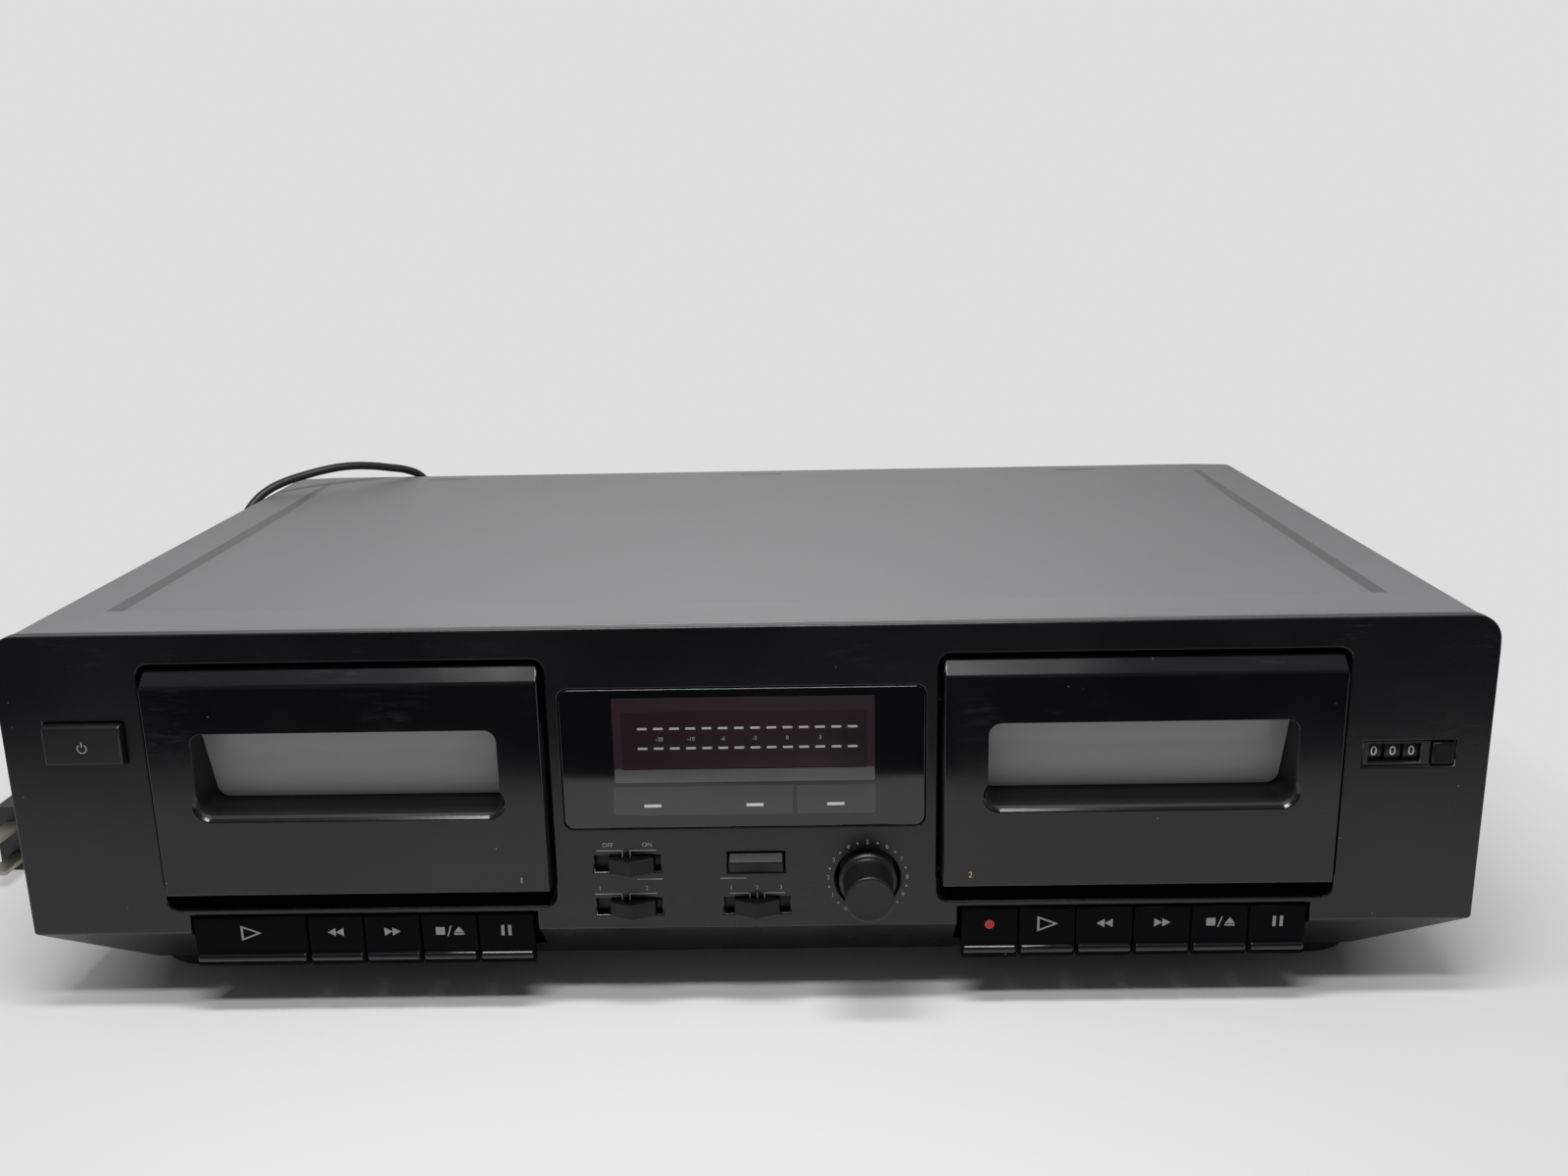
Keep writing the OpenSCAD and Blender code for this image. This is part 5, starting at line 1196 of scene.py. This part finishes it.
# The two long lamps over the face and how far each leans out in front of it
LAMP_RISE, LAMP_X, LAMP_SIZE = 0.69, -0.03, (0.46, 0.08)
LAMP_LEANS = (("Front lamp", radians(26)), ("Top lamp", radians(8.6)))
# Where gloss finds the bright spot and its edge, and between which directions the room turns into the backdrop
SPOT_WAY, SPOT_EDGE = (-0.05, 0.94, 0.34), 0.92
ROOM_TURN = (-0.8, 0.2)


class DECK_OT_stage(bpy.types.Operator):
    """Lay the pale floor and set up the soft light and the backdrop"""

    bl_idname = "deck.stage"
    bl_label = "Stage"

    def execute(self, context):
        stage = settings().stage
        scene = context.scene
        scene.view_settings.view_transform = "Standard"
        floor = disc("floor", FLOOR_R, 0.0, floor_finish(stage))
        card = disc("dark_beyond", CARD_R, CARD_LIFT, dark_finish(stage))
        card.data.transform(Matrix.Translation((0, FACE_Y - stage.table - CARD_R, 0)))
        card.visible_camera = card.visible_diffuse = card.visible_shadow = False
        card.visible_transmission = False
        for name, lean in LAMP_LEANS:
            lamp = bpy.data.lights.new(name, "AREA")
            lamp.shape = "RECTANGLE"
            lamp.size, lamp.size_y = LAMP_SIZE
            lamp.energy = stage.lamp
            holder = bpy.data.objects.new(name, lamp)
            holder.location = (LAMP_X, FACE_Y - LAMP_RISE * tan(lean), CHIN_TOP * MM + LAMP_RISE)
            scene.collection.objects.link(holder)
        backdrop(scene, stage)
        return {"FINISHED"}


def disc(name, radius, height, material):
    """Flat disc: rings of growing radius round a middle point."""
    ring = np.array(DISC_RINGS)[:, None] * radius
    angle = np.linspace(0, 2 * pi, DISC_STEPS, endpoint=False)
    flat = round_points(0.0, 0.0, ring, angle)
    points = np.concatenate([flat, np.full((*flat.shape[:2], 1), height)], -1)
    made = bpy.data.objects.new(name, grid_mesh(name, points, wrap_columns=True))
    bpy.context.scene.collection.objects.link(made)
    made.data.materials.append(material)
    return made


def floor_finish(stage):
    """Pale table top near the deck that fades into the backdrop's colour far away."""
    material = bpy.data.materials.new("Pale floor")
    material.use_nodes = True
    tree = material.node_tree
    shader = tree.nodes["Principled BSDF"]
    vector = tree.nodes.new("ShaderNodeTexCoord").outputs["Object"]
    clouded = mixed(tree, noise(tree, vector, 3.0), shaded(stage.floor, 1 - FLOOR_CLOUD),
                    shaded(stage.floor, 1 + FLOOR_CLOUD))
    tree.links.new(clouded, shader.inputs["Base Color"])
    shader.inputs["Roughness"].default_value = FLOOR_ROUGH
    wide = node(tree, "ShaderNodeMapping", {"Scale": (FADE_WIDE, 1.0, 1.0)}, {"Vector": vector})
    far = node(tree, "ShaderNodeVectorMath", links={0: wide.outputs[0]}, operation="LENGTH")
    glow = node(tree, "ShaderNodeEmission", {"Color": (*stage.wall, 1.0), "Strength": 1.0})
    faded = ramp(tree, far.outputs["Value"], *FADE)
    blend = node(tree, "ShaderNodeMixShader", links={0: faded, 1: shader.outputs[0], 2: glow.outputs[0]})
    tree.links.new(blend.outputs[0], tree.nodes["Material Output"].inputs["Surface"])
    return material


def dark_finish(stage):
    """Dim glow of the room past the table's edge."""
    material = bpy.data.materials.new("Dark beyond the table")
    material.use_nodes = True
    tree = material.node_tree
    glow = node(tree, "ShaderNodeEmission", {"Color": (*stage.dark, 1.0), "Strength": 1.0})
    tree.links.new(glow.outputs[0], tree.nodes["Material Output"].inputs["Surface"])
    return material


def backdrop(scene, stage):
    """World: an even light, while the camera and glass see the pale backdrop, and gloss sees it behind the
    deck with a soft bright spot, and a dim room in front."""
    world = bpy.data.worlds.new("Backdrop")
    scene.world = world
    world.use_nodes = True
    tree = world.node_tree
    light = tree.nodes["Background"]
    light.inputs["Color"].default_value = (1.0, 1.0, 1.0, 1.0)
    light.inputs["Strength"].default_value = stage.ambient
    path = tree.nodes.new("ShaderNodeLightPath")
    way = tree.nodes.new("ShaderNodeTexCoord").outputs["Generated"]
    back = ramp(tree, node(tree, "ShaderNodeSeparateXYZ", links={"Vector": way}).outputs["Y"], *ROOM_TURN)
    facing = node(tree, "ShaderNodeVectorMath", {1: SPOT_WAY}, {0: way}, operation="DOT_PRODUCT").outputs["Value"]
    around = mixed(tree, back, stage.room, stage.beside)
    mirrored = mixed(tree, ramp(tree, facing, SPOT_EDGE, 1.0), around, stage.spot)
    seen = node(tree, "ShaderNodeBackground", {"Strength": 1.0},
                {"Color": mixed(tree, path.outputs["Is Glossy Ray"], stage.wall, mirrored)})
    looked = maths(tree, "MAXIMUM", path.outputs["Is Camera Ray"], path.outputs["Is Glossy Ray"])
    looked = maths(tree, "MAXIMUM", looked, path.outputs["Is Transmission Ray"])
    both = node(tree, "ShaderNodeMixShader", links={0: looked, 1: light.outputs[0], 2: seen.outputs[0]})
    tree.links.new(both.outputs[0], tree.nodes["World Output"].inputs["Surface"])


OPERATORS = (
    DECK_OT_camera, DECK_OT_cord, DECK_OT_housing, DECK_OT_doors, DECK_OT_keys, DECK_OT_controls,
    DECK_OT_face_marks, DECK_OT_meter, DECK_OT_counter, DECK_OT_mechanism, DECK_OT_rear, DECK_OT_stage,
)


class DECK_PT_panel(bpy.types.Panel):
    """Lists the steps and settings of the deck"""

    bl_idname = "DECK_PT_panel"
    bl_label = "Double Cassette Deck"
    bl_space_type = "VIEW_3D"
    bl_region_type = "UI"
    bl_category = "Deck"

    def draw(self, context):
        for operator in OPERATORS:
            self.layout.operator(operator.bl_idname)
        for name in DeckSettings.__annotations__:
            box = self.layout.box()
            box.label(text=name.capitalize())
            group = getattr(context.scene.deck_settings, name)
            for key in group.__annotations__:
                box.prop(group, key)


GROUPS = (
    CameraSettings, CordSettings, HousingSettings, DoorSettings, ControlSettings, MarkSettings, MeterSettings,
    MechanismSettings, StageSettings, DeckSettings,
)


def register():
    """Register the classes and the scene's settings."""
    for cls in (*GROUPS, *OPERATORS, DECK_PT_panel):
        bpy.utils.register_class(cls)
    bpy.types.Scene.deck_settings = PointerProperty(type=DeckSettings)


def unregister():
    """Take the classes and the settings away again."""
    del bpy.types.Scene.deck_settings
    for cls in reversed((*GROUPS, *OPERATORS, DECK_PT_panel)):
        bpy.utils.unregister_class(cls)


def main():
    """Register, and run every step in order."""
    register()
    for operator in OPERATORS:
        group, name = operator.bl_idname.split(".")
        getattr(getattr(bpy.ops, group), name)()


if __name__ == "__main__":
    main()
